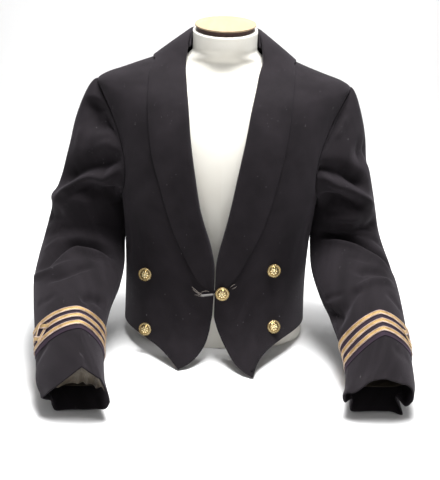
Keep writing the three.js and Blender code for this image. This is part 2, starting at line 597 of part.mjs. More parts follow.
function shawl(side) {
  const flat = shawlRows.map((z) => {
    const [start, end] = [edgeAngle(edgeAt, side, z), edgeAngle(shawlAt, side, z)];
    return shawlColumns.map((w) => {
      const spot = onTorso(side, mix(start, end, w), z);
      const lift = mix(SHAWL_LIFT.fold, SHAWL_LIFT.edge, smooth(w * 2));
      return { p: moved(spot, lift), n: spot.n };
    });
  });
  const round = collarRows.map((row) => {
    const edge = onTorso(side, Math.min(row.round * RAD, middleBack(row.edge)), row.edge);
    const fold = new THREE.Vector3(side * Math.max(row.x, 0.2), row.y, row.z);
    const rim = moved(edge, SHAWL_LIFT.neck);
    const n = new THREE.Vector3(edge.n.x, edge.n.y, 0.6).normalize();
    return shawlColumns.map((w) => ({
      p: fold.clone().lerp(rim, w).addScaledVector(n, 7 * w * (1 - w)),
      n,
    }));
  });
  cloth(`shawl_collar_${nameOf(side)}`, WOOL, [...flat, ...round]);
}

// The stand goes round the back of the neck in one piece, inside the collar's fold.
function collarStand() {
  const half = collarRows.slice(1);
  const turns = [...half.map((row) => [row, 1]), ...half.slice(0, -1).reverse().map((row) => [row, -1])];
  const grid = turns.map(([row, side]) => {
    const x = row.round === 180 ? 0 : row.x;
    const n = new THREE.Vector3(side * x, row.y, 0).normalize();
    const top = new THREE.Vector3(side * x, row.y, row.z - STAND.below).addScaledVector(n, -STAND.inset);
    const low = top.clone().addScaledVector(n, STAND.lean * (1 - x / 60));
    low.setZ(Math.min(STAND.seam, top.z - 4));
    return [0, 0.5, 1].map((t) => ({ p: low.clone().lerp(top, t), n }));
  });
  cloth("collar_stand", WOOL, grid, { thick: STAND.thick });
}

// ---------------------------------------------------------------- sleeves
// A point of the armhole: theta is 0 at the shoulder, 90 at the front, 180 under the arm.
function armhole(side, theta) {
  const phi = Math.PI / 2 - armholeReach(theta) * Math.sin(theta);
  return onTorso(side, phi, ARMHOLE.mid + ARMHOLE.half * Math.cos(theta));
}

// How far apart a normal's points lie, round and along: close ones for the bare sleeve, and
// ones as far apart as the facets for its folded surface.
const FINE = (along) => [0.01, along < 0.005 ? 0.005 : 1];
const COARSE = (along) => [0.1, along < 0.03 ? 0.03 : 7];

// A sleeve as a function of theta and the way along: -1 at the armhole, 0 at its first
// section, then millimetres along its middle line to the cuff.
function makeSleeve(side) {
  let length = 0;
  const rows = SLEEVES[nameOf(side)].map((row, k, all) => {
    const before = all[Math.max(k - 1, 0)];
    length += Math.hypot(row.x - before.x, row.y - before.y, row.z - before.z);
    return { ...row, ...SLEEVE_SHAPE[nameOf(side)][k], along: length };
  });
  const at = curve(rows, "along");
  const mouthAt = curve(MOUTHS[nameOf(side)], "angle");
  const folds = FOLDS[nameOf(side)].map(makeFold);
  const tube = (theta, along) => {
    const r = at(along);
    const [c, s] = [Math.cos(theta), Math.sin(theta)];
    const top = c > 0 ? r.qu : r.qi;
    const power = 2 / (s > 0 ? top : r.qd);
    const high = (s > 0 ? r.up : r.down) * signedPower(s, power);
    const lean = (r.lean * Math.max(0, high)) / r.up + (r.slip * Math.max(0, -high)) / r.down;
    const near = smooth((along - length + MOUTH.length) / MOUTH.length);
    const degrees = theta / RAD;
    const bent = mouthAt(degrees - 360 * Math.floor((degrees + 90) / 360));
    const out = (c > 0 ? r.out : r.in) * signedPower(c, power) - lean + near * near * bent.out;
    const sink = (c > 0 ? r.skew : r.dip) * c * c - near * near * bent.rise;
    const aim = r.aim * RAD;
    const rise = high * Math.sin(aim) - sink;
    const middle = new THREE.Vector3(side * (r.x + out), r.y - high * Math.cos(aim), r.z + rise);
    const far = near * (MOUTH.lobe * c * c + near * bent.far);
    return middle.add(new THREE.Vector3(0, -Math.sin(aim), -Math.cos(aim)).multiplyScalar(far));
  };
  const plain = (theta, along) => {
    if (along >= 0) return tube(theta, along);
    const start = armhole(side, theta);
    const top = (1 + Math.cos(theta)) / 2;
    const end = tube(theta, 0);
    const leave = start.n.clone().setZ(0).normalize().multiplyScalar(mix(12, HEAD[nameOf(side)], top));
    const arrive = tube(theta, 12).sub(end).multiplyScalar(mix(1.2, 13, top));
    const [t, h] = [1 + along, smooth(1 + along)];
    return moved(start, 0.3 * (1 - h))
      .lerp(end, h)
      .addScaledVector(leave, t ** 3 - 2 * t * t + t)
      .addScaledVector(arrive, t ** 3 - t * t);
  };
  const spot = (surface, theta, along, step) => {
    const found = facing(surface, theta, along, ...step(along));
    if (side < 0) found.n.negate();
    return found;
  };
  const surface = (theta, along) => {
    const top = (1 + Math.cos(theta)) / 2;
    const way = along < 0 ? along * mix(20, 200, top) : along;
    const degrees = theta / RAD > 230 ? theta / RAD - 360 : theta / RAD;
    const high = smooth((1 + along) / 0.12) * folds.reduce((sum, fold) => sum + fold(degrees, way), 0);
    return Math.abs(high) < 0.01 ? plain(theta, along) : moved(spot(plain, theta, along, FINE), high);
  };
  // Above the cuff the rows tilt with the braid, which runs unevenly round the inner side.
  const tilted = (theta, along) => {
    const fromCuff = length - along;
    const near = smooth((TILT.start - fromCuff) / TILT.over) * smooth((fromCuff - TILT.end) / TILT.fade);
    return along + TILT[nameOf(side)] * near * Math.max(0, -Math.cos(theta)) ** 1.5;
  };
  return { length, at: (theta, along) => spot(surface, theta, tilted(theta, along), COARSE) };
}

const PER_DEGREE = 0.9; // millimetres round the sleeve for each degree

// One fold: gives its height at a place on the sleeve, soft across and tapering to both ends.
function makeFold({ path, wide, high }) {
  const along = curve(path.map(([degrees, way], i) => ({ i, u: degrees * PER_DEGREE, v: way })), "i");
  const line = spread(0, path.length - 1, 5 * (path.length - 1)).map(along);
  const steps = line.slice(1).map(({ u, v }, k) => {
    const [from, du, dv] = [line[k], u - line[k].u, v - line[k].v];
    return { from, du, dv, size: Math.hypot(du, dv) };
  });
  const total = steps.reduce((sum, { size }) => sum + size, 0);
  return (degrees, way) => {
    let [nearest, share, run] = [Infinity, 0, 0];
    for (const { from, du, dv, size } of steps) {
      const [a, b] = [degrees * PER_DEGREE - from.u, way - from.v];
      const t = clamp((a * du + b * dv) / size ** 2, 0, 1);
      const away = Math.hypot(a - t * du, b - t * dv);
      if (away < nearest) [nearest, share] = [away, (run + t * size) / total];
      run += size;
    }
    const taper = smooth(share / 0.3) * smooth((1 - share) / 0.3);
    return high * Math.exp(-((nearest / wide) ** 2)) * taper;
  };
}

const gridOn = (made, columns, rows) =>
  rows.map((along) => columns.map((degrees) => made.at(degrees * RAD, along)));

// The same grid with its two side edges drawn in from the seams, level with the cloth.
function sewn(side, grid) {
  const last = grid.length - 1;
  return grid.map((row, i) =>
    row.map(({ p, n }, k) => {
      if (k > 0 && k < row.length - 1) return { p, n };
      const seam = grid[Math.min(i + 1, last)][k].p.clone().sub(grid[Math.max(i - 1, 0)][k].p);
      const inwards = k ? -side : side;
      return { p: p.clone().addScaledVector(seam.cross(n).normalize(), inwards * SEAM), n };
    }),
  );
}

function sleeve(side) {
  const made = makeSleeve(side);
  const label = nameOf(side);
  const { length } = made;
  const pitch = BRAID.lace + BRAID.between;
  const low = length - BRAID.fromCuff;
  const top = low - 2 * pitch - BRAID.lace;
  const bands = [top - BRAID.over, top + BRAID.lace + 3, low - BRAID.lace - 3, low + BRAID.under];
  const caps = [-1, -0.86, -0.68, -0.46, -0.22];
  const cuff = [44, 25, 18, 12, 0].map((from) => length - from);
  const rows = [...caps, ...spread(0, top - 14, 9), ...bands, ...cuff];
  cloth(`top_sleeve_${label}`, WOOL, sewn(side, gridOn(made, TOP_COLUMNS, rows)));
  cloth(`under_sleeve_${label}`, WOOL, sewn(side, gridOn(made, UNDER_COLUMNS, rows)));

  const lift = BRAID.cloth + 0.3;
  const ground = { lift, thick: BRAID.cloth, round: true };
  cloth(`braid_ground_${label}`, PURPLE, gridOn(made, ROUND, bands), ground);
  const lace = { lift: lift + 0.75 + BRAID.thick, thick: BRAID.thick };
  const band = (from) => [from, from + BRAID.lace];
  const ring = { ...lace, round: true };
  cloth(`lace_upper_${label}`, GOLD_LACE, gridOn(made, ROUND, band(top)), ring);
  cloth(`lace_lower_${label}`, GOLD_LACE, gridOn(made, ROUND, band(low - BRAID.lace)), ring);
  const [start, end] = [DIAMOND.round + 12, DIAMOND.round + 348];
  const between = ROUND.map((a) => (a < start ? a + 360 : a)).filter((a) => a > start + 3 && a < end - 3);
  const open = [start, ...between.sort((a, b) => a - b), end];
  cloth(`lace_middle_${label}`, GOLD_LACE, gridOn(made, open, band(top + pitch)), lace);
  diamond(made, label, top + pitch + BRAID.lace / 2, lace.lift + 0.3 + BRAID.thick);
  lining(made, side, label);
}

// A square of lace set on its corner over the middle ring.
function diamond(made, label, middle, lift) {
  const degrees = 1.15; // round the sleeve for each millimetre
  const corner = (turn, reach) =>
    made.at((DIAMOND.round + reach * Math.cos(turn) * degrees) * RAD, middle + reach * Math.sin(turn));
  const inside = DIAMOND.half - DIAMOND.width * Math.SQRT2;
  const steps = range(16).map((k) => {
    const turn = (k * Math.PI) / 8;
    const side = 1 / (Math.abs(Math.cos(turn)) + Math.abs(Math.sin(turn)));
    return [turn, side];
  });
  const grid = [inside, DIAMOND.half].map((reach) => steps.map(([turn, side]) => corner(turn, reach * side)));
  cloth(`lace_diamond_${label}`, GOLD_LACE, grid, { lift, thick: BRAID.thick, round: true });
}

// The sleeve lining: fixed near the mouth, and sagging in pleats from the top of the cuff.
function lining(made, side, label) {
  const { share, pleat } = SAG[nameOf(side)];
  const rows = [
    { from: 12, sag: 0 },
    { from: 18, sag: 0.35 },
    { from: 25, sag: 0.7 },
    { from: 44, sag: 0.8 },
    { from: 70, sag: 0 },
  ];
  const grid = rows.map(({ from, sag }) => {
    const floor = made.at(-90 * RAD, made.length - from).p.z + 8;
    return ROUND.map((degrees, k) => {
      const spot = made.at(degrees * RAD, made.length - from);
      const hang = sag * smooth((Math.sin(degrees * RAD) - 0.05) / 0.6);
      const p = moved(spot, -CLOTH - LINING_EASE);
      p.z -= share * hang * Math.max(p.z - floor, 0);
      p.y -= hang * pleat * (k % 2 ? 1 : -1);
      return { p, n: spot.n };
    });
  });
  cloth(`sleeve_lining_${label}`, LINING_CLOTH, grid, { thick: LINING, round: true });
}

// ---------------------------------------------------------------- buttons and link
// A domed gilt button with a rope rim and a rosette; it looks along +Z before it is placed.
function buttonGeometry() {
  const rings = [
    { r: 0, z: BUTTON.dome },
    { r: 2.4, z: BUTTON.dome },
    { r: 5.2, z: BUTTON.dome - 0.5, petal: 1 },
    { r: 7.8, z: BUTTON.dome - 1.3 },
    { r: 8.9, z: BUTTON.rim + 0.6 },
    { r: BUTTON.radius, z: BUTTON.rim - 0.3 },
    { r: BUTTON.radius - 1, z: 0 },
    { r: 0, z: 0 },
  ];
  const count = BUTTON.petals * 2;
  const positions = [];
  for (const ring of rings.slice(1, -1)) {
    for (const k of range(count)) {
      const turn = (k * 2 * Math.PI) / count;
      const relief = ring.petal && k % 2 ? BUTTON.relief : 0;
      positions.push(ring.r * Math.cos(turn), ring.r * Math.sin(turn), ring.z + relief);
    }
  }
  const [top, bottom] = [positions.length / 3, positions.length / 3 + 1];
  positions.push(0, 0, rings[0].z, 0, 0, 0);
  const faces = [];
  const last = rings.length - 3;
  for (const k of range(count)) {
    const next = (k + 1) % count;
    faces.push(top, k, next, bottom, last * count + next, last * count + k);
    for (const i of range(last)) {
      const [a, b] = [i * count, (i + 1) * count];
      faces.push(a + k, b + k, b + next, a + k, b + next, a + next);
    }
  }
  return closed(positions, faces);
}

function button({ name, side, x, z, off }) {
  const spot = onTorso(side, angleOf(x, z), z);
  const mesh = add(name, buttonGeometry(), GILT);
  const tipped = spot.n.clone().lerp(BUTTON_TIP.towards, BUTTON_TIP.share).normalize();
  mesh.quaternion.setFromUnitVectors(new THREE.Vector3(0, 0, 1), tipped);
  mesh.position.copy(moved(spot, off));
}

// The short bar runs from the middle button to the buttonhole of the other front.
function linkBar() {
  const run = LINK.to - LINK.from;
  const spot = onTorso(-1, angleOf(-(LINK.from + LINK.to) / 2, LINK.z), LINK.z);
  const bar = new THREE.CapsuleGeometry(LINK.radius, run, 3, 8);
  const mesh = add("link_bar", bar, CORD);
  mesh.rotation.z = Math.atan2(LINK.rise, run) - Math.PI / 2;
  const stand = SHAWL_LIFT.fold + LINK.radius + 1.6;
  mesh.position.set((LINK.from + LINK.to) / 2, spot.p.y - stand, LINK.z);
}

// ---------------------------------------------------------------- dress form
const formAt = curve(FORM, "z");

// The neck leans: its top slopes down towards the front.
const leanAt = (y, z) => y * Math.tan(NECK.tilt * RAD) * smooth((z - NECK.from) / (NECK.top - NECK.from));

function form() {
  const columns = range(28).map((k) => (k / 28) * 2 * Math.PI);
  const heights = [0, 14, 90, 180, 250, 310, 360, 386, 403, 414, 424, 433, 441, 449, 457, 480];
  const positions = heights.flatMap((z) =>
    columns.flatMap((phi) => {
      const at = oval(formAt(z), phi);
      return [at.x, at.y, z + leanAt(at.y, z)];
    }),
  );
  const count = columns.length;
  const faces = [];
  for (const k of range(count)) {
    const next = (k + 1) % count;
    for (const i of range(heights.length - 1)) {
      const [a, b] = [i * count, (i + 1) * count];
      faces.push(a + k, a + next, b + next, a + k, b + next, b + k);
    }
    const last = (heights.length - 1) * count;
    if (k > 0 && k < count - 1) faces.push(0, next, k, last, last + k, last + next);
  }
  add("form_body", closed(positions, faces), JERSEY);
}

function neckDisc(name, radius, height, above, look) {
  const disc = new THREE.CylinderGeometry(radius, radius, height, 32).rotateX(Math.PI / 2);
  const mesh = add(name, disc, look);
  mesh.rotation.x = NECK.tilt * RAD;
  const up = above + height / 2;
  mesh.position.set(0, -up * Math.sin(NECK.tilt * RAD), NECK.top + up * Math.cos(NECK.tilt * RAD));
}

for (const side of [-1, 1]) {
  front(side);
  sideBody(side);
  back(side);
  shawl(side);
  sleeve(side);
}
collarStand();
BUTTONS.forEach(button);
linkBar();
form();
neckDisc("neck_spacer", NECK.spacer, NECK.low, NECK.gap, DARK_WOOD);
neckDisc("neck_cap", NECK.radius, NECK.cap, 2 * NECK.gap + NECK.low, WOOD);

export default part;
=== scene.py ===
"""A mess dress jacket on a limbless dress form: the finish of every surface.

The jacket's sizes are in millimetres, in the CAD model's frame: +Z up, the wearer faces -Y and the
wearer's left is +X. Every cloth piece is a thin wall on one of two surfaces, the torso and a sleeve.
They are the CAD model's own, drawn here more finely, with rounded edges and smaller creases.
Meshes are made in metres.
"""

import math
from types import SimpleNamespace

import bmesh
import bpy
import numpy as np
from mathutils import Matrix, Vector

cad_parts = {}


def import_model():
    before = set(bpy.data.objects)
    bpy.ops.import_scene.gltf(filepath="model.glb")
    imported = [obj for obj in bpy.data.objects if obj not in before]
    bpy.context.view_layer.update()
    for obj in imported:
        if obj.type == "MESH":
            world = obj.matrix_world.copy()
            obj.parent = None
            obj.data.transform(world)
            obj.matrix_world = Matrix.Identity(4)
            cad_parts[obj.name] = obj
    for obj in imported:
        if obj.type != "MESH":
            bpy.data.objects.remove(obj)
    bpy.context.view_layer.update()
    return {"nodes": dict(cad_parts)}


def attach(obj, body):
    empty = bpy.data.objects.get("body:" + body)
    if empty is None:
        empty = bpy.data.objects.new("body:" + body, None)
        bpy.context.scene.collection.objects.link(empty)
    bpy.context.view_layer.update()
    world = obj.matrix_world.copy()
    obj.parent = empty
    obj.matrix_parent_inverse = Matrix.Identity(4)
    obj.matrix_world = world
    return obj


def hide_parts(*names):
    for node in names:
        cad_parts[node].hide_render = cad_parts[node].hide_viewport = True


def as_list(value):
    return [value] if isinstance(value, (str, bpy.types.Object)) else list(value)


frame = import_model()


def table(columns, *rows):
    """A list of rows, each with its values under the columns' names."""
    names = columns.split()
    return [dict(zip(names, row)) for row in rows]


# ---------------------------------------------------------------- driving sizes, as in the CAD model
MM = 0.001
CLOTH = 2.2  # wall of the doubled wool cloth
LINING = 1.0  # wall of the sleeve lining
LEFT_DROP = 4  # the wearer's left shoulder hangs this much lower
HANG_SHIFT = -7  # the body hangs this far towards the wearer's right at the hem
SHIFT_TOP = 400  # height above which it hangs straight
HEM_TIP = 3  # height of the two front points
BUTTON_LEVEL = 118  # height where the fronts meet
SIDE_SEAM_BACK = 19  # how far behind the widest line the side seam starts at the hem
SHOULDER_TOP = 450  # the panels end here, under the collar
SHOULDER_GAP = 0.25  # from the shoulder line to each panel
HEM_SIDE = 98.0  # degrees round, where the side seam meets the hem
LOW_LEVEL = 13  # height of the level rows that are bent to follow the hem behind the side seam
BACK_SEAM_MEETS = 255  # angle on the armhole's ring where the curved back seam ends
SEAM = 0.08  # gap left on each side of a seam
SEAM_DIP = 0.45  # how far the cloth dips into a seam
ARMHOLE = SimpleNamespace(mid=313.5, half=88.5, front=26, back=24, scoop=0.5, seam=0.3)
BRAID = SimpleNamespace(lace=8, between=7, from_cuff=78, cloth=0.6, thick=0.9, under=8, over=3)
BRAID_LIFT = SimpleNamespace(ground=0.3, lace=0.55, knot=2.2)  # each one above what it lies on
BRAID_TILT = {"right": -10, "left": 12}  # how far down the inner side of each sleeve it runs
DIAMOND = SimpleNamespace(half=16, width=6, round=25)
MOUTH = SimpleNamespace(lobe=9, length=50)
SEAMS = SimpleNamespace(hind=-45, fore=165)  # where the sleeve's two pieces meet, degrees
SHAWL_LIFT = SimpleNamespace(edge=3, fold=6, neck=3)
NECK = SimpleNamespace(tilt=12, start=425, top=480)
SIDES = (-1, 1)  # the wearer's right and left
PITCH = 2.9  # size of a mesh cell on the cloth

# Height z, half width, y of the widest line, depth to front and back, squareness n.
TORSO = table(
    "z half ridge front back n",
    (0, 149, 0, 143, 100, 2.4),
    (60, 147, 0, 142, 97, 2.4),
    (120, 147, 0, 141, 95, 2.4),
    (180, 150, 0, 139, 99, 2.4),
    (240, 157, 0, 135, 106, 2.4),
    (300, 165, 2, 128, 110, 2.3),
    (350, 176, 4, 113, 106, 2.2),
    (385, 190, 6, 92, 92, 2.1),
    (402, 196, 8, 76, 80, 2.0),
    (412, 181, 9, 67, 72, 2.0),
    (420, 158, 10, 60, 66, 2.0),
    (430, 130, 11, 53, 60, 2.0),
    (438, 107, 12, 48, 55, 2.0),
    (446, 85, 12, 44, 50, 2.0),
    (453, 67, 12, 41, 46, 2.0),
)
# The front's free edge: half the opening at each height, to a point at the hem, and how far the
# opening leans over to the wearer's right.
FRONT_EDGE = table(
    "z x lean",
    (3, 55, 0),
    (5, 49, 0),
    (8, 40, 0),
    (15, 27, -1),
    (28, 15.5, -2),
    (45, 7.4, -0.6),
    (60, 3.2, 0.9),
    (72, 0.9, 1.5),
    (86, 0.5, 1.2),
    (118, 0.5, 0.6),
    (132, 0.6, 0.7),
    (150, 1.2, 1),
    (168, 4.2, 1.6),
    (189, 9.6, 2.4),
    (226, 20.2, 4.9),
    (280, 30.5, 5.8),
    (330, 39.5, 5.6),
    (375, 46, 4.4),
    (396, 50.2, 3.4),
    (420, 54.5, 2.4),
    (449, 63, 0),
)
# The outer edge of the shawl collar on the front, from the button up.
SHAWL_EDGE = table(
    "z x lean",
    (106, 3, 0),
    (114, 14.5, 0),
    (127, 27, 0),
    (141, 36, 0),
    (157, 45, 0),
    (210, 69, 1),
    (249, 80, 2.5),
    (297, 94, 5),
    (322, 98.5, 5.5),
    (353, 103, 5.6),
    (390, 106.5, 4.6),
    (424, 108.5, 2.5),
)
# The collar round the neck: its fold (x, y, z), and its outer edge on the torso
# (degrees round, height), from the collar bone to the middle of the back.
COLLAR = table(
    "x y z round edge",
    (58.5, -38, 438, 60, 433),
    (57, -20, 460, 72, 435.5),
    (54.8, 0, 476, 92, 438),
    (49.5, 25, 483, 115, 440.5),
    (32, 51, 486, 143, 443),
    (0, 63, 487, 180, 446),
)
# The stand inside the collar: how far it lies inside the fold, and the height of its seam.
STAND = SimpleNamespace(inset=3.2, below=2, seam=455, lean=3, thick=1.3)
# Height of the hem, degrees round from the front.
HEM = {
    "right": table(
        "phi z",
        (17.6, 3),
        (24, 14),
        (31, 21),
        (44, 25),
        (68, 24),
        (90, 18),
        (140, 13),
        (180, 7),
    ),
    "left": table(
        "phi z",
        (17.6, 3),
        (20, 13),
        (24, 21),
        (31, 27),
        (44, 30),
        (68, 28),
        (90, 22),
        (140, 14),
        (180, 7),
    ),
}
# The front points bend forward where they meet the table.
KICK = SimpleNamespace(
    below=100,
    at=55,
    width=55,
    forward={"right": 52, "left": 74},
    out={"right": -5, "left": 6},
)
# Where the curved back seams run, degrees round.
BACK_SEAM = table(
    "z phi",
    (0, 146),
    (100, 146),
    (200, 132),
    (260, 120),
    (290, 113.5),
)
# Sleeve sections from under the armhole to the cuff: the centre, how far the axis has turned
# from down to forward, and the reach outwards, inwards, upwards and downwards.
SLEEVES = {
    "right": table(
        "x y z aim out inn up down",
        (214, 4, 208, 4, 56, 56, 60, 60),
        (217, 0, 172, 16, 62, 62, 54, 56),
        (219, -18, 142, 42, 66, 65, 46, 50),
        (219, -55, 124, 66, 67, 69, 40, 44),
        (218, -105, 108, 72, 65, 67, 38, 42),
        (215, -155, 92, 72, 58, 56, 41, 40),
        (210, -205, 76, 71, 51, 49, 44, 40),
        (203, -250, 61, 71, 47, 46, 46, 39),
        (196, -292, 48, 72, 45, 46, 44, 38),
        (190, -324, 39, 73, 43, 46, 42, 38),
    ),
    "left": table(
        "x y z aim out inn up down",
        (201, 4, 208, 4, 48, 50, 60, 60),
        (204, 0, 172, 16, 52, 57, 54, 56),
        (207, -18, 144, 42, 56, 61, 46, 50),
        (209, -55, 127, 66, 59, 64, 40, 44),
        (213, -105, 111, 70, 59, 63, 38, 42),
        (217, -155, 93, 69, 55, 56, 41, 40),
        (220, -200, 75, 67, 51, 48, 44, 40),
        (220, -240, 59, 66, 50, 41, 43, 39),
        (218, -280, 45, 67, 49, 44, 38, 37),
        (215, -308, 36, 69, 45, 45, 32, 36),
    ),
}
# The same sections: how square the top's two sides and the bottom are, how far the top leans and
# the bottom slips inwards, and how far the outer and the inner side hang down.
SLEEVE_SHAPE = {
    "right": table(
        "square_out square_in square_low lean slip skew dip",
        (2.1, 2.1, 2.2, 0, 0, 0, 0),
        (2.1, 2.1, 2.2, 0, 0, 0, 0),
        (2.1, 2.1, 2.2, 0, 0, 0, 0),
        (2.0, 2.0, 2.2, 0, 0, 0, 0),
        (1.9, 1.8, 2.2, 4, 0, 0, 0),
        (1.85, 1.6, 2.2, 8, 2, 1, 2),
        (1.85, 1.4, 2.2, 13, 4, 4, 5),
        (1.85, 1.3, 2.2, 17, 6, 8, 8),
        (1.7, 1.35, 2.2, 21, 8, 12, 6),
        (1.55, 1.55, 2.3, 24, 9, 14, 0),
    ),
    "left": table(
        "square_out square_in square_low lean slip skew dip",
        (2.1, 2.1, 2.2, 0, 0, 0, 0),
        (2.1, 2.1, 2.2, 0, 0, 0, 0),
        (2.1, 2.1, 2.2, 0, 0, 0, 0),
        (2.0, 2.0, 2.2, 0, 0, 0, 0),
        (1.8, 1.85, 2.2, -1, 0, 0, 0),
        (1.6, 1.7, 2.2, -3, 0, 1, 2),
        (1.45, 1.55, 2.2, -5, 0, 3, 5),
        (1.4, 1.5, 2.3, -6, 0, 5, 10),
        (1.4, 1.45, 2.4, -7, 0, 8, 12),
        (1.4, 1.4, 2.6, -6, -4, 8, 9),
    ),
}
HEAD = {"right": 76, "left": 54}  # how full the sleeve head stands out from the shoulder
# Folds worn into each sleeve, largest first. Each follows a path of (degrees round, millimetres
# from the first section, negative up towards the shoulder). It is so wide and so high, a trough
# being negative.
FOLDS = {
    "right": table(
        "path wide high",
        ([(20, -50), (48, -50), (72, -60), (94, -66), (116, -84)], 13, -17),
        ([(28, -8), (56, -29), (71, -42), (86, -47), (101, -45), (107, -56), (106, -86)], 7, 11),
        ([(58, -24), (84, -34), (110, -24), (170, -14)], 9, -15),
        ([(-50, -56), (28, -54)], 30, -13),
        ([(-6, -10), (14, -10), (34, -6), (52, 6)], 14, 6),
        ([(30, 176), (54, 148), (72, 126), (86, 116), (100, 119), (118, 122), (156, 138)], 10, -20),
        ([(44, 176), (66, 150), (84, 137), (100, 138), (118, 141), (156, 158)], 9, 7),
        ([(4, 160), (28, 178), (54, 183), (72, 176), (92, 160)], 8, 5),
        ([(38, 206), (62, 203), (80, 196), (98, 184), (122, 166)], 7, -7),
        ([(36, -156), (52, -128), (76, -104)], 13, -14),
        ([(100, 264), (128, 244), (160, 236)], 9, -7),
        ([(10, 30), (40, 26), (64, 14)], 13, -5),
    ),
    "left": table(
        "path wide high",
        ([(128, -94), (106, -70), (86, -62), (64, -52), (34, -40)], 11, -15),
        ([(122, -84), (112, -60), (102, -46), (86, -41), (66, -31), (46, -16), (36, 4)], 8, 11),
        ([(156, -14), (124, -20), (96, -24), (56, -10)], 9, -16),
        ([(140, 22), (116, 12), (88, 12), (64, 6)], 10, 7),
        ([(-40, -60), (25, -56)], 22, -4),
        ([(158, 40), (134, 58), (114, 72), (97, 86), (78, 102), (56, 120), (8, 142)], 9, -18),
        ([(148, 70), (114, 92), (96, 106), (78, 121), (56, 138), (24, 154)], 9, 7),
        ([(14, 30), (36, 26), (62, 36), (90, 32)], 12, -9),
        ([(122, 218), (84, 201), (56, 188), (30, 182)], 7, 6),
        ([(112, 182), (84, 174), (48, 166)], 10, -7),
        ([(152, 246), (128, 226), (104, 208)], 8, -6),
        ([(150, 262), (164, 240), (184, 226), (206, 230)], 15, -12),
        ([(-4, -90), (22, -84), (46, -84), (62, -90)], 14, -9),
    ),
}
# Smaller creases, which only the fine mesh can hold.
CREASES = {
    "right": table(
        "path wide high",
        ([(30, -146), (44, -126), (58, -108)], 6, -2.6),
        ([(38, -110), (43, -90), (50, -70)], 5, 1.6),
        ([(56, -136), (74, -119), (96, -105)], 5, -3),
        ([(74, -96), (86, -90), (98, -92)], 8, 3),
        ([(96, -70), (100, -88), (110, -104)], 4, -2.4),
        ([(60, -14), (84, -12), (108, -2)], 5, 2),
        ([(100, 40), (124, 52), (150, 50)], 9, -2),
        ([(20, 60), (44, 76), (66, 74)], 11, -2),
        ([(30, 120), (52, 112), (70, 96)], 7, 1.6),
        ([(104, 160), (124, 150), (150, 152)], 8, -2.4),
        ([(20, 236), (40, 246), (62, 240)], 7, -1.6),
        ([(4, 342), (20, 334), (40, 328)], 5, -1.8),
        ([(196, -24), (232, 4), (262, 12)], 10, -3.5),
        ([(200, 66), (226, 92), (258, 88)], 10, -3),
        ([(-84, 66), (-58, 58), (-30, 34)], 10, 3),
        ([(196, 150), (228, 172), (256, 160)], 9, 2.6),
        ([(-24, 220), (-54, 236), (-80, 230)], 9, -2.4),
        ([(-20, -150), (-50, -110), (-80, -92)], 11, -3),
        ([(190, -30), (214, -16), (240, -12)], 6, 2.4),
    ),
    "left": table(
        "path wide high",
        ([(44, -180), (56, -160), (72, -138), (86, -128)], 9, -9),
        ([(46, -142), (56, -130), (76, -103)], 5, 2.6),
        ([(60, -134), (78, -118), (100, -95)], 5, -3.4),
        ([(114, -86), (100, -76), (80, -63)], 8, 3),
        ([(88, -58), (66, -50), (44, -42)], 5, -3),
        ([(120, -40), (104, -34), (88, -34)], 4, -2.4),
        ([(116, 44), (96, 52), (74, 70)], 6, 1.8),
        ([(60, 66), (42, 80), (22, 84)], 9, -2),
        ([(184, 200), (156, 206), (128, 217)], 6, -3),
        ([(110, 130), (90, 144), (66, 150)], 7, -2),
        ([(60, 212), (44, 226), (24, 232)], 8, -2.4),
        ([(30, 320), (52, 330), (78, 326)], 9, -1.5),
        ([(196, -20), (230, 0), (260, 14)], 10, -3.5),
        ([(196, 70), (226, 84), (256, 102)], 10, -3),
        ([(-84, 50), (-56, 62), (-28, 44)], 10, 3),
        ([(200, 160), (226, 150), (254, 172)], 9, 2.6),
        ([(-20, 210), (-50, 232), (-78, 226)], 9, -2.4),
        ([(-24, -146), (-52, -116), (-80, -98)], 11, -3),
    ),
}
# Creases of the fronts, sides and back, each on a path of (degrees round, height).
BODY_CREASES = {
    "right": table(
        "path wide high",
        ([(26, 318), (34, 282), (48, 246), (60, 226)], 12, -1.3),
        ([(50, 214), (44, 176), (40, 132), (44, 96)], 11, 1.1),
        ([(66, 196), (62, 160), (70, 120)], 10, -1.2),
        ([(92, 214), (108, 186), (126, 176)], 12, -1.6),
        ([(118, 336), (128, 286), (132, 228), (126, 180)], 15, 1.5),
        ([(142, 232), (158, 206), (172, 200)], 11, -1.5),
        ([(150, 150), (142, 112), (144, 76)], 13, 1.2),
    ),
    "left": table(
        "path wide high",
        ([(28, 322), (38, 288), (46, 254)], 11, -1.2),
        ([(54, 206), (46, 170), (44, 120)], 12, 1.2),
        ([(70, 210), (64, 176), (74, 138)], 10, -1.2),
        ([(90, 200), (112, 190), (130, 168)], 13, -1.5),
        ([(114, 322), (124, 268), (134, 216)], 14, 1.4),
        ([(138, 244), (156, 220), (170, 216)], 12, -1.4),
        ([(154, 166), (140, 130), (138, 88)], 12, 1.3),
    ),
}
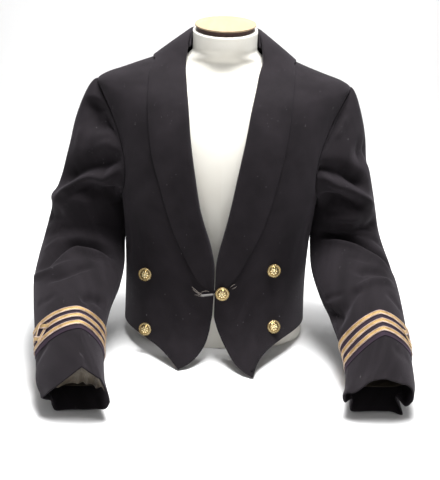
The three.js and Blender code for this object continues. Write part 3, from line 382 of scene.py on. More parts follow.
# Where each cuff's mouth is bent out of round: outwards, upwards and along the sleeve, in
# millimetres, at an angle round it.
MOUTHS = {
    "right": table(
        "angle out rise far",
        (-90, 0, 0, 0),
        (-75, 2.5, 0, 0),
        (-60, 5, 0, 0),
        (-45, 0, 5, -4),
        (-30, -7, 10, -6),
        (-15, -7, 8, -6),
        (0, -6, 3.5, -6),
        (15, -5, 0, -5),
        (30, -3, -1, -1),
        (45, -1, -4, 0),
        (60, -1, -3.5, 0),
        (75, 1, -2, 0),
        (85, 2, 0, 1),
        (95, 1, -4, 0),
        (105, 0, -7, 0),
        (120, 0, -7, 0),
        (135, 1, -2.5, 0),
        (150, -1, -4.5, 0),
        (165, -4.5, -6.5, 0),
        (180, -7.5, -7.5, 0),
        (195, -4.5, -5, 0),
        (210, -3, -4, 0),
        (225, -2.5, -2.5, 0),
        (240, 0, 0, 0),
        (270, 0, 0, 0),
    ),
    "left": table(
        "angle out rise far",
        (-90, 0, 0, 0),
        (-75, 1, 0, 0),
        (-60, 5.5, -1, 2),
        (-45, -11, 14, -10),
        (-30, -6, 4, -6),
        (-15, -1, 5, -7),
        (0, 0.5, 6, -8),
        (15, -1.3, 12, -7),
        (30, -4, 12, -5),
        (45, -5, 7, -2),
        (60, -3, 2, 0),
        (75, -1.5, -2, 0),
        (90, -2, -2, 0),
        (105, -5.5, -1, 0),
        (120, -4.5, 2, 0),
        (135, -2, 3, 0),
        (150, -1, 5, 0),
        (165, -2.5, 9, -4),
        (180, -4, 6, -5),
        (195, -1.5, 5, -6),
        (210, 3, 10, -9),
        (225, -4, 1, -2),
        (240, -1.5, 0, 0),
        (270, 0, 0, 0),
    ),
}
# How far the lining hangs inside each cuff, as a share of its height, and how deep its pleats are.
SAG = {"right": SimpleNamespace(share=0.6, pleat=3.2), "left": SimpleNamespace(share=0.2, pleat=2)}
# The lining runs from near the mouth up to its end, and along the lower side only from low up.
LINING_REACH = SimpleNamespace(mouth=9, low=42, top=70)
# How far the lining has come loose, at millimetres from the mouth.
LINING_SAG = table("at sag", (9, 0), (16, 0.5), (25, 1), (44, 0.7), (70, 0))
# Sections of the dress form.
FORM = table(
    "z half ridge front back n",
    (0, 138, -8, 98, 88, 2.7),
    (14, 138, -8, 98, 88, 2.7),
    (90, 131, -6, 100, 86, 2.4),
    (180, 136, -2, 112, 90, 2.3),
    (260, 147, 0, 118, 96, 2.3),
    (320, 156, 2, 110, 98, 2.2),
    (365, 166, 5, 92, 92, 2.1),
    (390, 168, 7, 74, 80, 2.0),
    (403, 154, 8, 64, 71, 2.0),
    (414, 128, 9, 55, 62, 2.0),
    (424, 98, 9, 49, 55, 2.0),
    (433, 74, 8, 46, 49, 2.0),
    (441, 60, 5, 47, 48, 2.0),
    (449, 50.5, 3, 48, 46.5, 2.0),
    (457, 49.2, 1, 49, 47, 2.0),
    (480, 49.3, 0, 50, 48, 2.0),
)
# How its foot and the rim of its neck round over: height, and share of the full section.
FORM_FOOT = [(0, 0.05), (0, 0.5), (0, 0.96), (0, 0.985), (0.8, 0.993), (2.2, 0.998), (4.5, 1)]
FORM_RIM = [(479.6, 0.995), (480, 0.98), (480, 0.9), (480, 0.5), (480, 0.05)]
# Buttons: distance out from the middle line and height, how far they stand off, and their turn.
BUTTONS = table(
    "name side x z off turn",
    ("button_upper_right", -1, 103, 124, 4.2, 20),
    ("button_lower_right", -1, 102, 38, 4.2, -35),
    ("button_upper_left", 1, 85, 139, 3.6, 50),
    ("button_lower_left", 1, 88, 52, 3.6, 5),
    ("button_link", 1, 11, 108, 7.2, -10),
)
# Worn threads of the buttonhole and beside the middle button: where each starts and ends, out
# from the middle and up, and how far it bows.
FRAYED = [
    (-40, 116, -27, 104, 1.5),
    (-38, 113, -29, 106, -1),
    (-33, 109, -22, 103, 1),
    (-35, 104, -25, 107, -1.5),
    (-30, 102, -21, 101, 1),
    (-26, 108, -14, 110, 1.5),
    (17, 117, 24, 122, 1),
    (19, 115, 26, 119, -1),
]
FRAY = SimpleNamespace(radius=0.42, lift=3.6)
# The outline of a button behind its face: radius and height.
BUTTON_RIM = [(10.0, 1.7), (10.15, 1.2), (10.0, 0.6), (9.3, 0.1), (6.0, 0.0), (0.05, 0.0)]
BUTTON_RADIUS = 9.6  # of a button's face
BUTTON_FACING = np.array([0, -1, 0.25])  # the buttons tip towards the front on their shanks


# ---------------------------------------------------------------- number tools
def mix(a, b, t):
    return a + (b - a) * t


def smooth(t):
    t = np.clip(t, 0, 1)
    return t * t * (3 - 2 * t)


def signed_power(value, power):
    return np.sign(value) * np.abs(value) ** power


def side_name(side):
    return "left" if side > 0 else "right"


def curve(rows, key):
    """A smooth curve through a table's rows: gives every other column at values of the key."""
    at = np.array([row[key] for row in rows], float)
    names = [name for name in rows[0] if name != key]
    columns = np.array([[row[name] for name in names] for row in rows], float)
    last = len(rows) - 1
    low = np.maximum(np.arange(last + 1) - 1, 0)
    high = np.minimum(np.arange(last + 1) + 1, last)
    slopes = (columns[high] - columns[low]) / (at[high] - at[low])[:, None]

    def found(value):
        v = np.clip(value, at[0], at[-1])
        k = np.clip(np.searchsorted(at, v, side="left") - 1, 0, last - 1)
        span = at[k + 1] - at[k]
        t = (v - at[k]) / span
        p, q = columns[k], columns[k + 1]
        leave, arrive = slopes[k] * span[..., None], slopes[k + 1] * span[..., None]
        t = t[..., None]
        out = mix(p, q, smooth(t)) + (t**3 - 2 * t * t + t) * leave + (t**3 - t * t) * arrive
        return SimpleNamespace(**{name: out[..., i] for i, name in enumerate(names)})

    return found


def stack(x, y, z):
    return np.stack(np.broadcast_arrays(x, y, z), axis=-1)


def unit(vectors):
    return vectors / np.maximum(np.linalg.norm(vectors, axis=-1, keepdims=True), 1e-12)


def facing(surface, u, v, du, dv):
    """Points and outward normals on a surface given as a function of two arrays."""
    across = surface(u + du, v) - surface(u - du, v)
    along = surface(u, v + dv) - surface(u, v - dv)
    return surface(u, v), unit(np.cross(across, along))


def steps(length, pitch=PITCH):
    """Values from 0 to 1 along a length: one every pitch, and closer ones at both ends for a round edge."""
    near = np.array([0, 0.25, 0.6, 1.1]) / length
    middle = np.linspace(2 / length, 1 - 2 / length, max(3, round(length / pitch)))
    return np.concatenate([near, middle, 1 - near[::-1]])


class Crease:
    """A fold worn into the cloth along a path: a ridge or a trough."""

    def __init__(self, path, wide, high, across=0.9):
        rows = [dict(at=i, u=u * across, v=v) for i, (u, v) in enumerate(path)]
        last = len(rows) - 1
        self.line = curve(rows, "at")(np.linspace(0, last, 5 * last + 1))
        self.wide, self.high, self.across = wide, high, across

    def height(self, degrees, way):
        """How much it raises the cloth at a place: soft across, and tapering to both ends."""
        u, v = degrees * self.across, way
        nearest = np.full(np.shape(u + v), 1e9)
        share = np.zeros_like(nearest)
        du, dv = np.diff(self.line.u), np.diff(self.line.v)
        size = np.hypot(du, dv)
        run = np.insert(np.cumsum(size), 0, 0) / size.sum()
        for k in range(len(size)):
            a, b = u - self.line.u[k], v - self.line.v[k]
            t = np.clip((a * du[k] + b * dv[k]) / size[k] ** 2, 0, 1)
            away = np.hypot(a - t * du[k], b - t * dv[k])
            closer = away < nearest
            nearest = np.where(closer, away, nearest)
            share = np.where(closer, mix(run[k], run[k + 1], t), share)
        taper = smooth(share / 0.3) * smooth((1 - share) / 0.3)
        return self.high * np.exp(-((nearest / self.wide) ** 2)) * taper


# ---------------------------------------------------------------- torso surface
torso_at = curve(TORSO, "z")
edge_at = curve(FRONT_EDGE, "z")
shawl_at = curve(SHAWL_EDGE, "z")
back_seam_at = curve(BACK_SEAM, "z")
hem_at = {name: curve(rows, "phi") for name, rows in HEM.items()}
body_creases = {name: [Crease(across=2.4, **row) for row in rows] for name, rows in BODY_CREASES.items()}
arm_low = ARMHOLE.mid - ARMHOLE.half - ARMHOLE.seam


def edge_angle(rows_at, side, z):
    """The angle of a table's edge on one side, as the middle line leans over."""
    row = rows_at(z)
    return angle_of(row.x - side * row.lean, z)


def oval(section, phi):
    """One oval section: phi is 0 at the front and 90 degrees at the wearer's left."""
    c, s = np.cos(phi), np.sin(phi)
    depth = np.where(c > 0, section.front, section.back)
    power = 2 / section.n
    return section.half * signed_power(s, power), section.ridge - depth * signed_power(c, power)


def torso(phi, z):
    """The cloth's own surface round the body, without creases."""
    x, y = oval(torso_at(z), phi)
    near = np.exp(-(((np.abs(x) - KICK.at) / KICK.width) ** 2))
    bend = np.where(np.cos(phi) > 0, np.maximum(0, 1 - z / KICK.below) ** 2 * near, 0)
    forward = np.where(x > 0, KICK.forward["left"], KICK.forward["right"])
    out = np.where(x > 0, KICK.out["left"], KICK.out["right"])
    drop = LEFT_DROP * smooth((x - 60) / 80) * smooth((z - 300) / 110)
    shift = HANG_SHIFT * (1 - smooth(z / SHIFT_TOP))
    return stack(x + shift + np.sign(x) * out * bend, y - forward * bend, z - drop)


def on_torso(side, phi, z):
    """Points and normals of the creased cloth on one side of the body."""
    phi, z = np.broadcast_arrays(phi, z)
    points, normals = facing(torso, side * phi, z, 0.01, 0.5)
    high = sum(crease.height(np.degrees(phi), z) for crease in body_creases[side_name(side)])
    return points + normals * high[..., None], normals


def angle_of(x, z):
    """The angle on the torso of a point that far out from the middle line."""
    section = torso_at(z)
    return np.arcsin(np.clip(x / section.half, 0, 1) ** (section.n / 2))


def gap_at(z):
    return SEAM / torso_at(z).half


def armhole_reach(turn):
    """How far round the armhole is cut: before the side line it is scooped out lower down."""
    scooped = ARMHOLE.front * (1 - ARMHOLE.scoop * np.cos(turn))
    return np.radians(np.where(np.sin(turn) > 0, scooped, ARMHOLE.back))


def armhole_edge(degrees, way):
    """Height, and how far round a panel's edge is, at an angle on the armhole's ring."""
    turn = np.radians(degrees)
    reach = armhole_reach(np.radians(degrees) * way) + ARMHOLE.seam / 140
    z = ARMHOLE.mid + (ARMHOLE.half + ARMHOLE.seam) * np.cos(turn)
    return z, math.pi / 2 - way * np.maximum(reach * np.abs(np.sin(turn)), gap_at(z))


def side_seam_at(z):
    """The side seam is a straight line from the hem up to the armhole."""
    section = torso_at(z)
    y = SIDE_SEAM_BACK * np.clip(1 - z / arm_low, 0, 1)
    return math.pi / 2 + np.arcsin((y / section.back) ** (section.n / 2))


def back_seam(z):
    return np.radians(back_seam_at(z).phi)


def middle_back(z):
    return math.pi - angle_of(SEAM, z)


# ---------------------------------------------------------------- sleeve surface
class Sleeve:
    """A sleeve as a function of theta and the way along: -1 at the armhole, 0 at its first section,
    then millimetres along its middle line to the cuff. Theta is 0 at the outside and 90 at the top."""

    def __init__(self, side):
        self.side = side
        self.name = side_name(side)
        rows = []
        length = 0
        for k, (row, shape) in enumerate(zip(SLEEVES[self.name], SLEEVE_SHAPE[self.name])):
            before = SLEEVES[self.name][max(k - 1, 0)]
            length += math.dist([row[i] for i in "xyz"], [before[i] for i in "xyz"])
            rows.append({**row, **shape, "along": length})
        self.length = length
        self.section = curve(rows, "along")
        self.folds = [Crease(**row) for row in FOLDS[self.name] + CREASES[self.name]]
        self.mouth = curve(MOUTHS[self.name], "angle")

    def tube(self, theta, along):
        r = self.section(along)
        c, s = np.cos(theta), np.sin(theta)
        power = 2 / np.where(s > 0, np.where(c > 0, r.square_out, r.square_in), r.square_low)
        high = np.where(s > 0, r.up, r.down) * signed_power(s, power)
        lean = r.lean * np.maximum(0, high) / r.up + r.slip * np.maximum(0, -high) / r.down
        out = np.where(c > 0, r.out, r.inn) * signed_power(c, power) - lean
        sink = np.where(c > 0, r.skew, r.dip) * c * c
        aim = np.radians(r.aim)
        near = smooth((along - self.length + MOUTH.length) / MOUTH.length)
        bent = self.mouth((np.degrees(theta) + 90) % 360 - 90)
        far = near * (MOUTH.lobe * c * c + near * bent.far)
        out = out + near * near * bent.out
        y = r.y - high * np.cos(aim) - np.sin(aim) * far
        z = r.z + high * np.sin(aim) - sink - np.cos(aim) * far + near * near * bent.rise
        return stack(self.side * (r.x + out), y, z)

    def plain(self, theta, along):
        """The sleeve without its folds: the tube, and above it the head that swells from the armhole."""
        theta, along = np.broadcast_arrays(theta, along)
        turn = np.sin(theta)
        reach = armhole_reach(theta)
        level = ARMHOLE.mid + ARMHOLE.half * np.cos(theta)
        start, out = facing(torso, self.side * (math.pi / 2 - reach * turn), level, 0.01, 0.5)
        top = ((1 + np.cos(theta)) / 2)[..., None]
        end = self.tube(theta, 0 * along)
        leave = unit(out * [1, 1, 0]) * mix(12, HEAD[self.name], top)
        arrive = (self.tube(theta, 0 * along + 12) - end) * mix(1.2, 13, top)
        t = np.clip(1 + along, 0, 1)[..., None]
        h = smooth(t)
        start = start + out * 0.3 * (1 - h)
        cap = mix(start, end, h) + leave * (t**3 - 2 * t * t + t) + arrive * (t**3 - t * t)
        return np.where((along >= 0)[..., None], self.tube(theta, along), cap)

    def spot(self, surface, theta, along):
        """Central differences whose step suits the head, and those whose step suits the tube."""
        theta, along = np.broadcast_arrays(theta, along)
        step = np.where(along < 0.005, 0.005, 1.0)
        points, normals = facing(surface, theta, along, 0.01, step)
        return points, normals * self.side

    def surface(self, theta, along):
        points, normals = self.spot(self.plain, theta, along)
        top = (1 + np.cos(theta)) / 2
        way = np.where(along < 0, along * mix(20, 200, top), along)
        degrees = np.degrees(theta)
        degrees = np.where(degrees > 230, degrees - 360, degrees)
        high = sum(fold.height(degrees, way) for fold in self.folds)
        return points + normals * (high * smooth((1 + along) / 0.12))[..., None]

    def at(self, degrees, along):
        return self.spot(self.surface, np.radians(degrees), along)

    def grid(self, degrees, along):
        """Points and normals for every way along (rows) at every angle (columns)."""
        return self.at(*np.meshgrid(degrees, along))


# ---------------------------------------------------------------- meshes
def lengths(points, axis):
    """Distance run along a grid's rows or columns, from 0."""
    run = np.cumsum(np.linalg.norm(np.diff(points, axis=axis), axis=2), axis=axis)
    return np.insert(run, 0, 0, axis=axis)


def rounding(points, ring, radii):
    """How far a face dips towards each edge: the first and last row, and the first and last column."""
    down, across = lengths(points, 0), lengths(points, 1)
    edges = [down, down[-1] - down] + ([] if ring else [across, across[:, -1:] - across])
    dip = np.zeros(points.shape[:2])
    for away, radius in zip(edges, radii):
        inside = np.clip(radius - away, 0, radius)
        dip = np.maximum(dip, radius - np.sqrt(radius**2 - inside**2))
    return dip


def grid_normals(points, ring=False):
    """Normals of a grid from its own points, for pieces with no formula of their own."""
    down = np.gradient(points, axis=0)
    wide = np.concatenate([points[:, -1:], points, points[:, :1]], axis=1) if ring else points
    across = np.gradient(wide, axis=1)
    if ring:
        across = across[:, 1:-1]
    return unit(np.cross(across, down))


def mesh_object(name, vertices, faces, uv, look):
    """A smooth-shaded object in metres, with a UV map in metres of cloth."""
    mesh = bpy.data.meshes.new(name)
    mesh.from_pydata((vertices * MM).tolist(), [], faces.tolist())
    mesh.polygons.foreach_set("use_smooth", np.ones(len(faces), bool))
    layer = mesh.uv_layers.new(name="cloth")
    layer.data.foreach_set("uv", (uv * MM).ravel())
    mesh.materials.append(look)
    made = bpy.data.objects.new(name, mesh)
    bpy.context.scene.collection.objects.link(made)
    return made


def wall(name, points, normals, look, thick=CLOTH, lift=0.0, ring=False, sewn=()):
    """A closed wall of cloth on a grid. Its outer face is moved out by lift, and free edges are round.

    The sewn edges, counted as in rounding, only dip into the seam."""
    rows, columns = points.shape[:2]
    free = [thick / 2] * 4
    radii = [SEAM_DIP if k in sewn else thick / 2 for k in range(4)]
    outer = points + normals * np.expand_dims(lift - rounding(points, ring, radii), -1)
    inner = points + normals * np.expand_dims(lift - thick + rounding(points, ring, free), -1)
    rim = np.zeros((rows, columns), bool)
    rim[[0, -1]] = True
    if not ring:
        rim[:, [0, -1]] = True
    first = np.arange(rows * columns).reshape(rows, columns)
    second = first.copy()
    second[~rim] = rows * columns + np.arange((~rim).sum())
    vertices = np.concatenate([outer.reshape(-1, 3), inner[~rim]])

    wide = columns if ring else columns - 1
    i, j = np.meshgrid(np.arange(rows - 1), np.arange(wide), indexing="ij")
    corners = [(i, j), (i, j + 1), (i + 1, j + 1), (i + 1, j)]
    front = np.stack([first[a, b % columns] for a, b in corners], -1).reshape(-1, 4)
    behind = np.stack([second[a, b % columns] for a, b in corners], -1).reshape(-1, 4)
    looped = np.concatenate([points, points[:, :1]], 1) if ring else points
    u, v = lengths(looped, 1), lengths(looped, 0)
    uv = np.stack([np.stack([u[a, b], v[a, b]], -1) for a, b in corners], -2).reshape(-1, 4, 2)

    mid = (rows // 2, columns // 2)
    turn = np.cross(points[mid[0], mid[1] + 1] - points[mid], points[mid[0] + 1, mid[1]] - points[mid])
    if np.dot(turn, normals[mid]) > 0:
        behind, uv_behind = behind[:, ::-1], uv[:, ::-1]
    else:
        front, uv, uv_behind = front[:, ::-1], uv[:, ::-1], uv
    faces = np.concatenate([front, behind])
    return mesh_object(name, vertices, faces, np.concatenate([uv, uv_behind]), look)


def ring_faces(rows, columns):
    """The faces between closed rings of points, and the grid places of their corners."""
    i, j = np.meshgrid(np.arange(rows - 1), np.arange(columns), indexing="ij")
    corners = [(i, j), (i, j + 1), (i + 1, j + 1), (i + 1, j)]
    return np.stack([a * columns + b % columns for a, b in corners], -1).reshape(-1, 4), corners


def finish_piece(piece, node):
    """A visible piece in the place of its CAD node, which is hidden."""
    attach(piece, "root")
    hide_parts(node)
    return piece


def declare(piece, points, rests_on):
    """Works out a piece's size as a sheet, as wide and as long as its longest row and column, and its area;
    nothing more is done with them.
    """
    width, length = lengths(points, 1)[:, -1].max(), lengths(points, 0)[-1].max()
    a, b = points[1:, 1:] - points[:-1, :-1], points[1:, :-1] - points[:-1, 1:]
    area = np.linalg.norm(np.cross(a, b), axis=2).sum() / 2
    area = float(np.clip(area, 0.31 * width * length, width * length))
    flat = (round(width * MM, 4), round(length * MM, 4))
    area = min(area * MM * MM, flat[0] * flat[1])
    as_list(rests_on)


# ---------------------------------------------------------------- materials
class Look:
    """A material's nodes, with short ways to add and join them."""

    def __init__(self, name, **values):
        self.material = bpy.data.materials.new(name)
        self.material.use_nodes = True
        self.tree = self.material.node_tree
        self.shader = self.tree.nodes["Principled BSDF"]
        for socket, value in values.items():
            self.shader.inputs[socket.replace("_", " ")].default_value = value
        self.place = self.add("ShaderNodeUVMap", uv_map="cloth").outputs[0]

    def add(self, kind, **settings):
        node = self.tree.nodes.new(kind)
        for name, value in settings.items():
            setattr(node, name, value)
        return node

    def feed(self, socket, value):
        if isinstance(value, bpy.types.NodeSocket):
            self.tree.links.new(value, socket)
        else:
            socket.default_value = value

    def math(self, operation, a, b=0.0, clamp=False):
        node = self.add("ShaderNodeMath", operation=operation, use_clamp=clamp)
        self.feed(node.inputs[0], a)
        self.feed(node.inputs[1], b)
        return node.outputs[0]

    def line(self, value, times, plus):
        """A value times one number, and plus another."""
        return self.math("ADD", self.math("MULTIPLY", value, times), plus)

    def mapped(self, scale=(1, 1, 1), turn=0.0, place=None):
        """The cloth's place, turned by degrees and then scaled."""
        spun = self.add("ShaderNodeMapping")
        self.feed(spun.inputs["Vector"], place or self.place)
        spun.inputs["Rotation"].default_value = (0, 0, math.radians(turn))
        spread = self.add("ShaderNodeMapping")
        self.feed(spread.inputs["Vector"], spun.outputs[0])
        spread.inputs["Scale"].default_value = scale
        return spread.outputs[0]

    def noise(self, scale, detail=2.0, roughness=0.5, place=None):
        node = self.add("ShaderNodeTexNoise")
        self.feed(node.inputs["Vector"], place or self.place)
        node.inputs["Scale"].default_value = scale
        node.inputs["Detail"].default_value = detail
        node.inputs["Roughness"].default_value = roughness
        return node.outputs["Fac"]

    def wave(self, period, turn=0.0, direction="X", place=None):
        """Smooth stripes with a period in metres, across the cloth's width after a turn."""
        node = self.add("ShaderNodeTexWave", wave_type="BANDS", bands_direction=direction)
        self.feed(node.inputs["Vector"], self.mapped(turn=turn, place=place))
        node.inputs["Scale"].default_value = math.pi / 10 / period
        return node.outputs["Fac"]

    def cells(self, scale):
        node = self.add("ShaderNodeTexVoronoi")
        self.feed(node.inputs["Vector"], self.place)
        node.inputs["Scale"].default_value = scale
        return node.outputs["Distance"]

    def ramp(self, value, *stops):
        """A colour for each value: stops are (position, colour)."""
        node = self.add("ShaderNodeValToRGB")
        self.feed(node.inputs[0], value)
        elements = node.color_ramp.elements
        while len(elements) < len(stops):
            elements.new(0.5)
        for element, (position, colour) in zip(elements, stops):
            element.position = position
            element.color = (*colour, 1)
        return node.outputs[0]

    def blend(self, share, a, b, way="MIX"):
        node = self.add("ShaderNodeMix", data_type="RGBA", blend_type=way)
        self.feed(node.inputs[0], share)
        self.feed(node.inputs[6], a)
        self.feed(node.inputs[7], b)
        return node.outputs[2]

    def bump(self, height, depth, strength):
        node = self.add("ShaderNodeBump")
        self.feed(node.inputs["Height"], height)
        node.inputs["Distance"].default_value = depth
        node.inputs["Strength"].default_value = strength
        return node.outputs[0]

    def set(self, **values):
        for socket, value in values.items():
            self.feed(self.shader.inputs[socket.replace("_", " ")], value)
        return self.material


def wool_look(name, base, tint):
    """Milled black wool: a fine twill under a short nap, slightly uneven, with a little lint."""
    look = Look(name, Sheen_Weight=0.07, Sheen_Roughness=0.5, Sheen_Tint=(*tint, 1), IOR=1.4)
    look.shader.inputs["Specular IOR Level"].default_value = 0.15
    twill = look.wave(0.00095, turn=58)
    weft = look.wave(0.0007, turn=-32)
    nap = look.noise(900, 3, 0.7)
    patch = look.noise(22, 3, 0.55)
    dark = tuple(0.72 * c for c in base)
    light = tuple(1.32 * c for c in base)
    ground = look.ramp(patch, (0.3, dark), (0.7, light))
    weave = look.math("MULTIPLY", twill, weft)
    thread = look.ramp(weave, (0.0, (0.72, 0.72, 0.72)), (0.8, (1.18, 1.18, 1.18)))
    cloth = look.blend(1.0, ground, thread, "MULTIPLY")
    fuzz = look.ramp(nap, (0.35, (0.8, 0.8, 0.8)), (0.75, (1.3, 1.28, 1.32)))
    cloth = look.blend(1.0, cloth, fuzz, "MULTIPLY")
    speck = look.cells(210)
    rare = look.noise(75, 2, 0.6)
    size = look.math("MULTIPLY", look.math("SUBTRACT", rare, 0.53, clamp=True), 0.9)
    shown = look.math("GREATER_THAN", size, speck)
    cloth = look.blend(look.math("MULTIPLY", shown, 0.45), cloth, (0.26, 0.25, 0.26, 1))
    rough = look.line(nap, 0.16, 0.78)
    relief = look.bump(look.line(weave, 0.6, nap), 0.00016, 0.7)
    return look.set(Base_Color=cloth, Roughness=rough, Normal=relief)


def lining_look():
    """Brown satin lining: fine warp lines and a soft shine, with stains."""
    look = Look("lining", Sheen_Weight=0.1, IOR=1.45)
    warp = look.wave(0.0005)
    stain = look.noise(55, 4, 0.6)
    dark, brown, pale = (0.022, 0.015, 0.008), (0.055, 0.041, 0.025), (0.12, 0.1, 0.075)
    tone = look.ramp(stain, (0.3, dark), (0.52, brown), (0.74, pale))
    line = look.ramp(warp, (0.0, (0.8, 0.8, 0.8)), (1.0, (1.12, 1.12, 1.12)))
    rough = look.line(stain, 0.25, 0.32)
    relief = look.bump(look.math("ADD", warp, look.noise(300, 2)), 0.00008, 0.6)
    return look.set(Base_Color=look.blend(1.0, tone, line, "MULTIPLY"), Roughness=rough, Normal=relief)


def purple_look():
    """The purple-black cloth under the lace: a short dense pile."""
    look = Look("purple_cloth", Sheen_Weight=0.06, Sheen_Roughness=0.4, Sheen_Tint=(0.7, 0.4, 0.75, 1))
    pile = look.noise(1400, 2, 0.7)
    patch = look.noise(40, 2)
    tone = look.ramp(patch, (0.3, (0.009, 0.003, 0.009)), (0.7, (0.021, 0.007, 0.022)))
    relief = look.bump(pile, 0.0002, 0.6)
    return look.set(Base_Color=tone, Roughness=0.88, Normal=relief)


def lace_look():
    """Gold wire lace: pale ribbed selvedges and a herringbone middle, rubbed and a little tarnished."""
    look = Look("gold_lace", Metallic=0.3, IOR=1.45)
    split = look.add("ShaderNodeSeparateXYZ")
    look.feed(split.inputs[0], look.place)
    across = look.math("DIVIDE", split.outputs["Y"], BRAID.lace * MM)
    off = look.math("ABSOLUTE", look.math("SUBTRACT", across, 0.5))
    edge = look.math("GREATER_THAN", off, 0.29)
    slant = look.add("ShaderNodeCombineXYZ")
    look.feed(slant.inputs[0], look.math("ADD", split.outputs["X"], look.math("MULTIPLY", off, 0.006)))
    bones = look.wave(0.0017, place=slant.outputs[0])
    ribs = look.wave(0.0011)
    tarnish = look.noise(70, 4, 0.65)
    dark, gold, bright = (0.16, 0.09, 0.03), (0.62, 0.40, 0.14), (0.95, 0.70, 0.32)
    middle = look.ramp(bones, (0.0, dark), (0.45, gold), (1.0, bright))
    dark, gold, bright = (0.36, 0.25, 0.22), (0.80, 0.64, 0.54), (0.95, 0.82, 0.70)
    selvedge = look.ramp(ribs, (0.0, dark), (0.6, gold), (1.0, bright))
    gold = look.blend(edge, middle, selvedge)
    dull = look.ramp(tarnish, (0.35, (0.62, 0.56, 0.55)), (0.62, (1.05, 1.0, 0.98)))
    gold = look.blend(1.0, gold, dull, "MULTIPLY")
    height = look.blend(edge, bones, ribs)
    relief = look.bump(height, 0.00045, 0.8)
    return look.set(Base_Color=gold, Roughness=look.line(tarnish, 0.3, 0.28), Normal=relief)


def gilt_look():
    """Gilt metal, bright on the raised parts and brown in the hollows."""
    look = Look("gilt", Metallic=1.0, IOR=1.5)
    depth = look.add("ShaderNodeAttribute", attribute_name="relief").outputs["Fac"]
    wear = look.noise(900, 3, 0.6)
    tone = look.ramp(depth, (0.0, (0.13, 0.075, 0.02)), (0.4, (0.76, 0.56, 0.24)), (0.8, (1.0, 0.90, 0.60)))
    rough = look.line(wear, 0.25, 0.14)
    return look.set(Base_Color=tone, Roughness=rough, Normal=look.bump(wear, 0.00006, 0.5))


def jersey_look():
    """Cream cotton jersey: fine knitted ribs, a little soft all over."""
    look = Look("jersey", Sheen_Weight=0.15, IOR=1.4)
    ribs = look.wave(0.0011)
    rows = look.wave(0.0009, direction="Y")
    patch = look.noise(9, 3)
    tone = look.ramp(patch, (0.3, (0.80, 0.77, 0.70)), (0.7, (0.86, 0.84, 0.78)))
    loop = look.math("MULTIPLY", ribs, rows)
    stitch = look.ramp(loop, (0.0, (0.95, 0.95, 0.94)), (1.0, (1.02, 1.02, 1.02)))
    tone = look.blend(1.0, tone, stitch, "MULTIPLY")
    return look.set(Base_Color=tone, Roughness=0.9, Normal=look.bump(loop, 0.0001, 0.5))


def wood_look(name, pale, dark, roughness):
    """Wood grain along Y, from the object's own place."""
    look = Look(name, IOR=1.45)
    place = look.add("ShaderNodeTexCoord").outputs["Object"]
    stretched = look.mapped((90, 9, 90), place=place)
    grain = look.noise(1.0, 5, 0.6, place=stretched)
    tone = look.ramp(grain, (0.3, dark), (0.7, pale))
    rough = look.line(grain, 0.2, roughness)
    return look.set(Base_Color=tone, Roughness=rough, Normal=look.bump(grain, 0.0001, 0.5))


def cord_look(name, dark, pale):
    """Worn twisted thread."""
    look = Look(name, Sheen_Weight=0.2)
    twist = look.noise(1500, 2, place=look.mapped((1, 0.2, 1)))
    tone = look.ramp(twist, (0.3, dark), (0.7, pale))
    return look.set(Base_Color=tone, Roughness=0.8, Normal=look.bump(twist, 0.0003, 0.8))


WOOL = wool_look("wool", (0.0160, 0.0134, 0.0156), (0.80, 0.72, 0.82))
LINING_SATIN = lining_look()
PURPLE = purple_look()
LACE = lace_look()
GILT = gilt_look()
JERSEY = jersey_look()
THREAD = cord_look("link", (0.06, 0.058, 0.055), (0.3, 0.29, 0.28))
THREAD_ENDS = cord_look("thread_ends", (0.10, 0.085, 0.07), (0.42, 0.37, 0.33))
CAP_WOOD = wood_look("cap_wood", (0.40, 0.30, 0.185), (0.33, 0.24, 0.145), 0.45)
# The spacer under the neck cap is near-black brown wood: painted shade of the gap beneath the cap.
SPACER_SHADE_WOOD = wood_look("spacer_wood", (0.05, 0.014, 0.008), (0.022, 0.006, 0.004), 0.45)


# ---------------------------------------------------------------- body pieces
def wool_piece(name, points, normals, rests_on, **settings):
    piece = wall(f"{name}_cloth", points, normals, WOOL, **settings)
    declare(finish_piece(piece, name), points, rests_on)


def joined(lower, upper):
    """Two grids' points and normals as one, the upper rows after the lower ones."""
    return (np.concatenate([a, b]) for a, b in zip(lower, upper))


def front(side):
    """From the hem to the button the rows open out from the hem's curve, and above it they are level."""
    name = side_name(side)
    across = steps(215)
    rise = steps(BUTTON_LEVEL - HEM_TIP)[:-4, None]
    z = mix(HEM_TIP, BUTTON_LEVEL, rise)
    end = side_seam_at(mix(hem_at[name](HEM_SIDE).z, BUTTON_LEVEL, rise)) - gap_at(z)
    phi = mix(edge_angle(edge_at, side, z), end, across)
    height = mix(hem_at[name](np.degrees(phi)).z, BUTTON_LEVEL, rise)
    lower = on_torso(side, phi, height)

    middle = np.linspace(BUTTON_LEVEL, arm_low, 36)[:-1]
    arm, edge = armhole_edge(np.linspace(180, 0, 74), 1)
    top = mix(arm[-1], SHOULDER_TOP, steps(48)[4:])
    z = np.concatenate([middle, arm, top])[:, None]
    shoulder = math.pi / 2 - SHOULDER_GAP / torso_at(top).front
    end = np.concatenate([side_seam_at(middle) - gap_at(middle), edge, shoulder])
    phi = mix(edge_angle(edge_at, side, z), end[:, None], across)
    upper = on_torso(side, phi, z)
    wool_piece(f"front_{name}", *joined(lower, upper), ["form_body"], sewn=(1, 3))


def low_rows(side, start, end, width):
    """The rows below the armhole, behind the side seam: they follow the hem, then run level."""
    name = side_name(side)
    rise = steps(arm_low - LOW_LEVEL)[:-4, None]
    level = mix(LOW_LEVEL, arm_low, rise)
    phi = mix(start(level), end(level), steps(width))
    return on_torso(side, phi, mix(hem_at[name](np.degrees(phi)).z, arm_low, rise))


def join_at(z, edge):
    """Beside the armhole the curved back seam keeps a little cloth in front of it."""
    return np.maximum(back_seam(z), edge + 0.03)


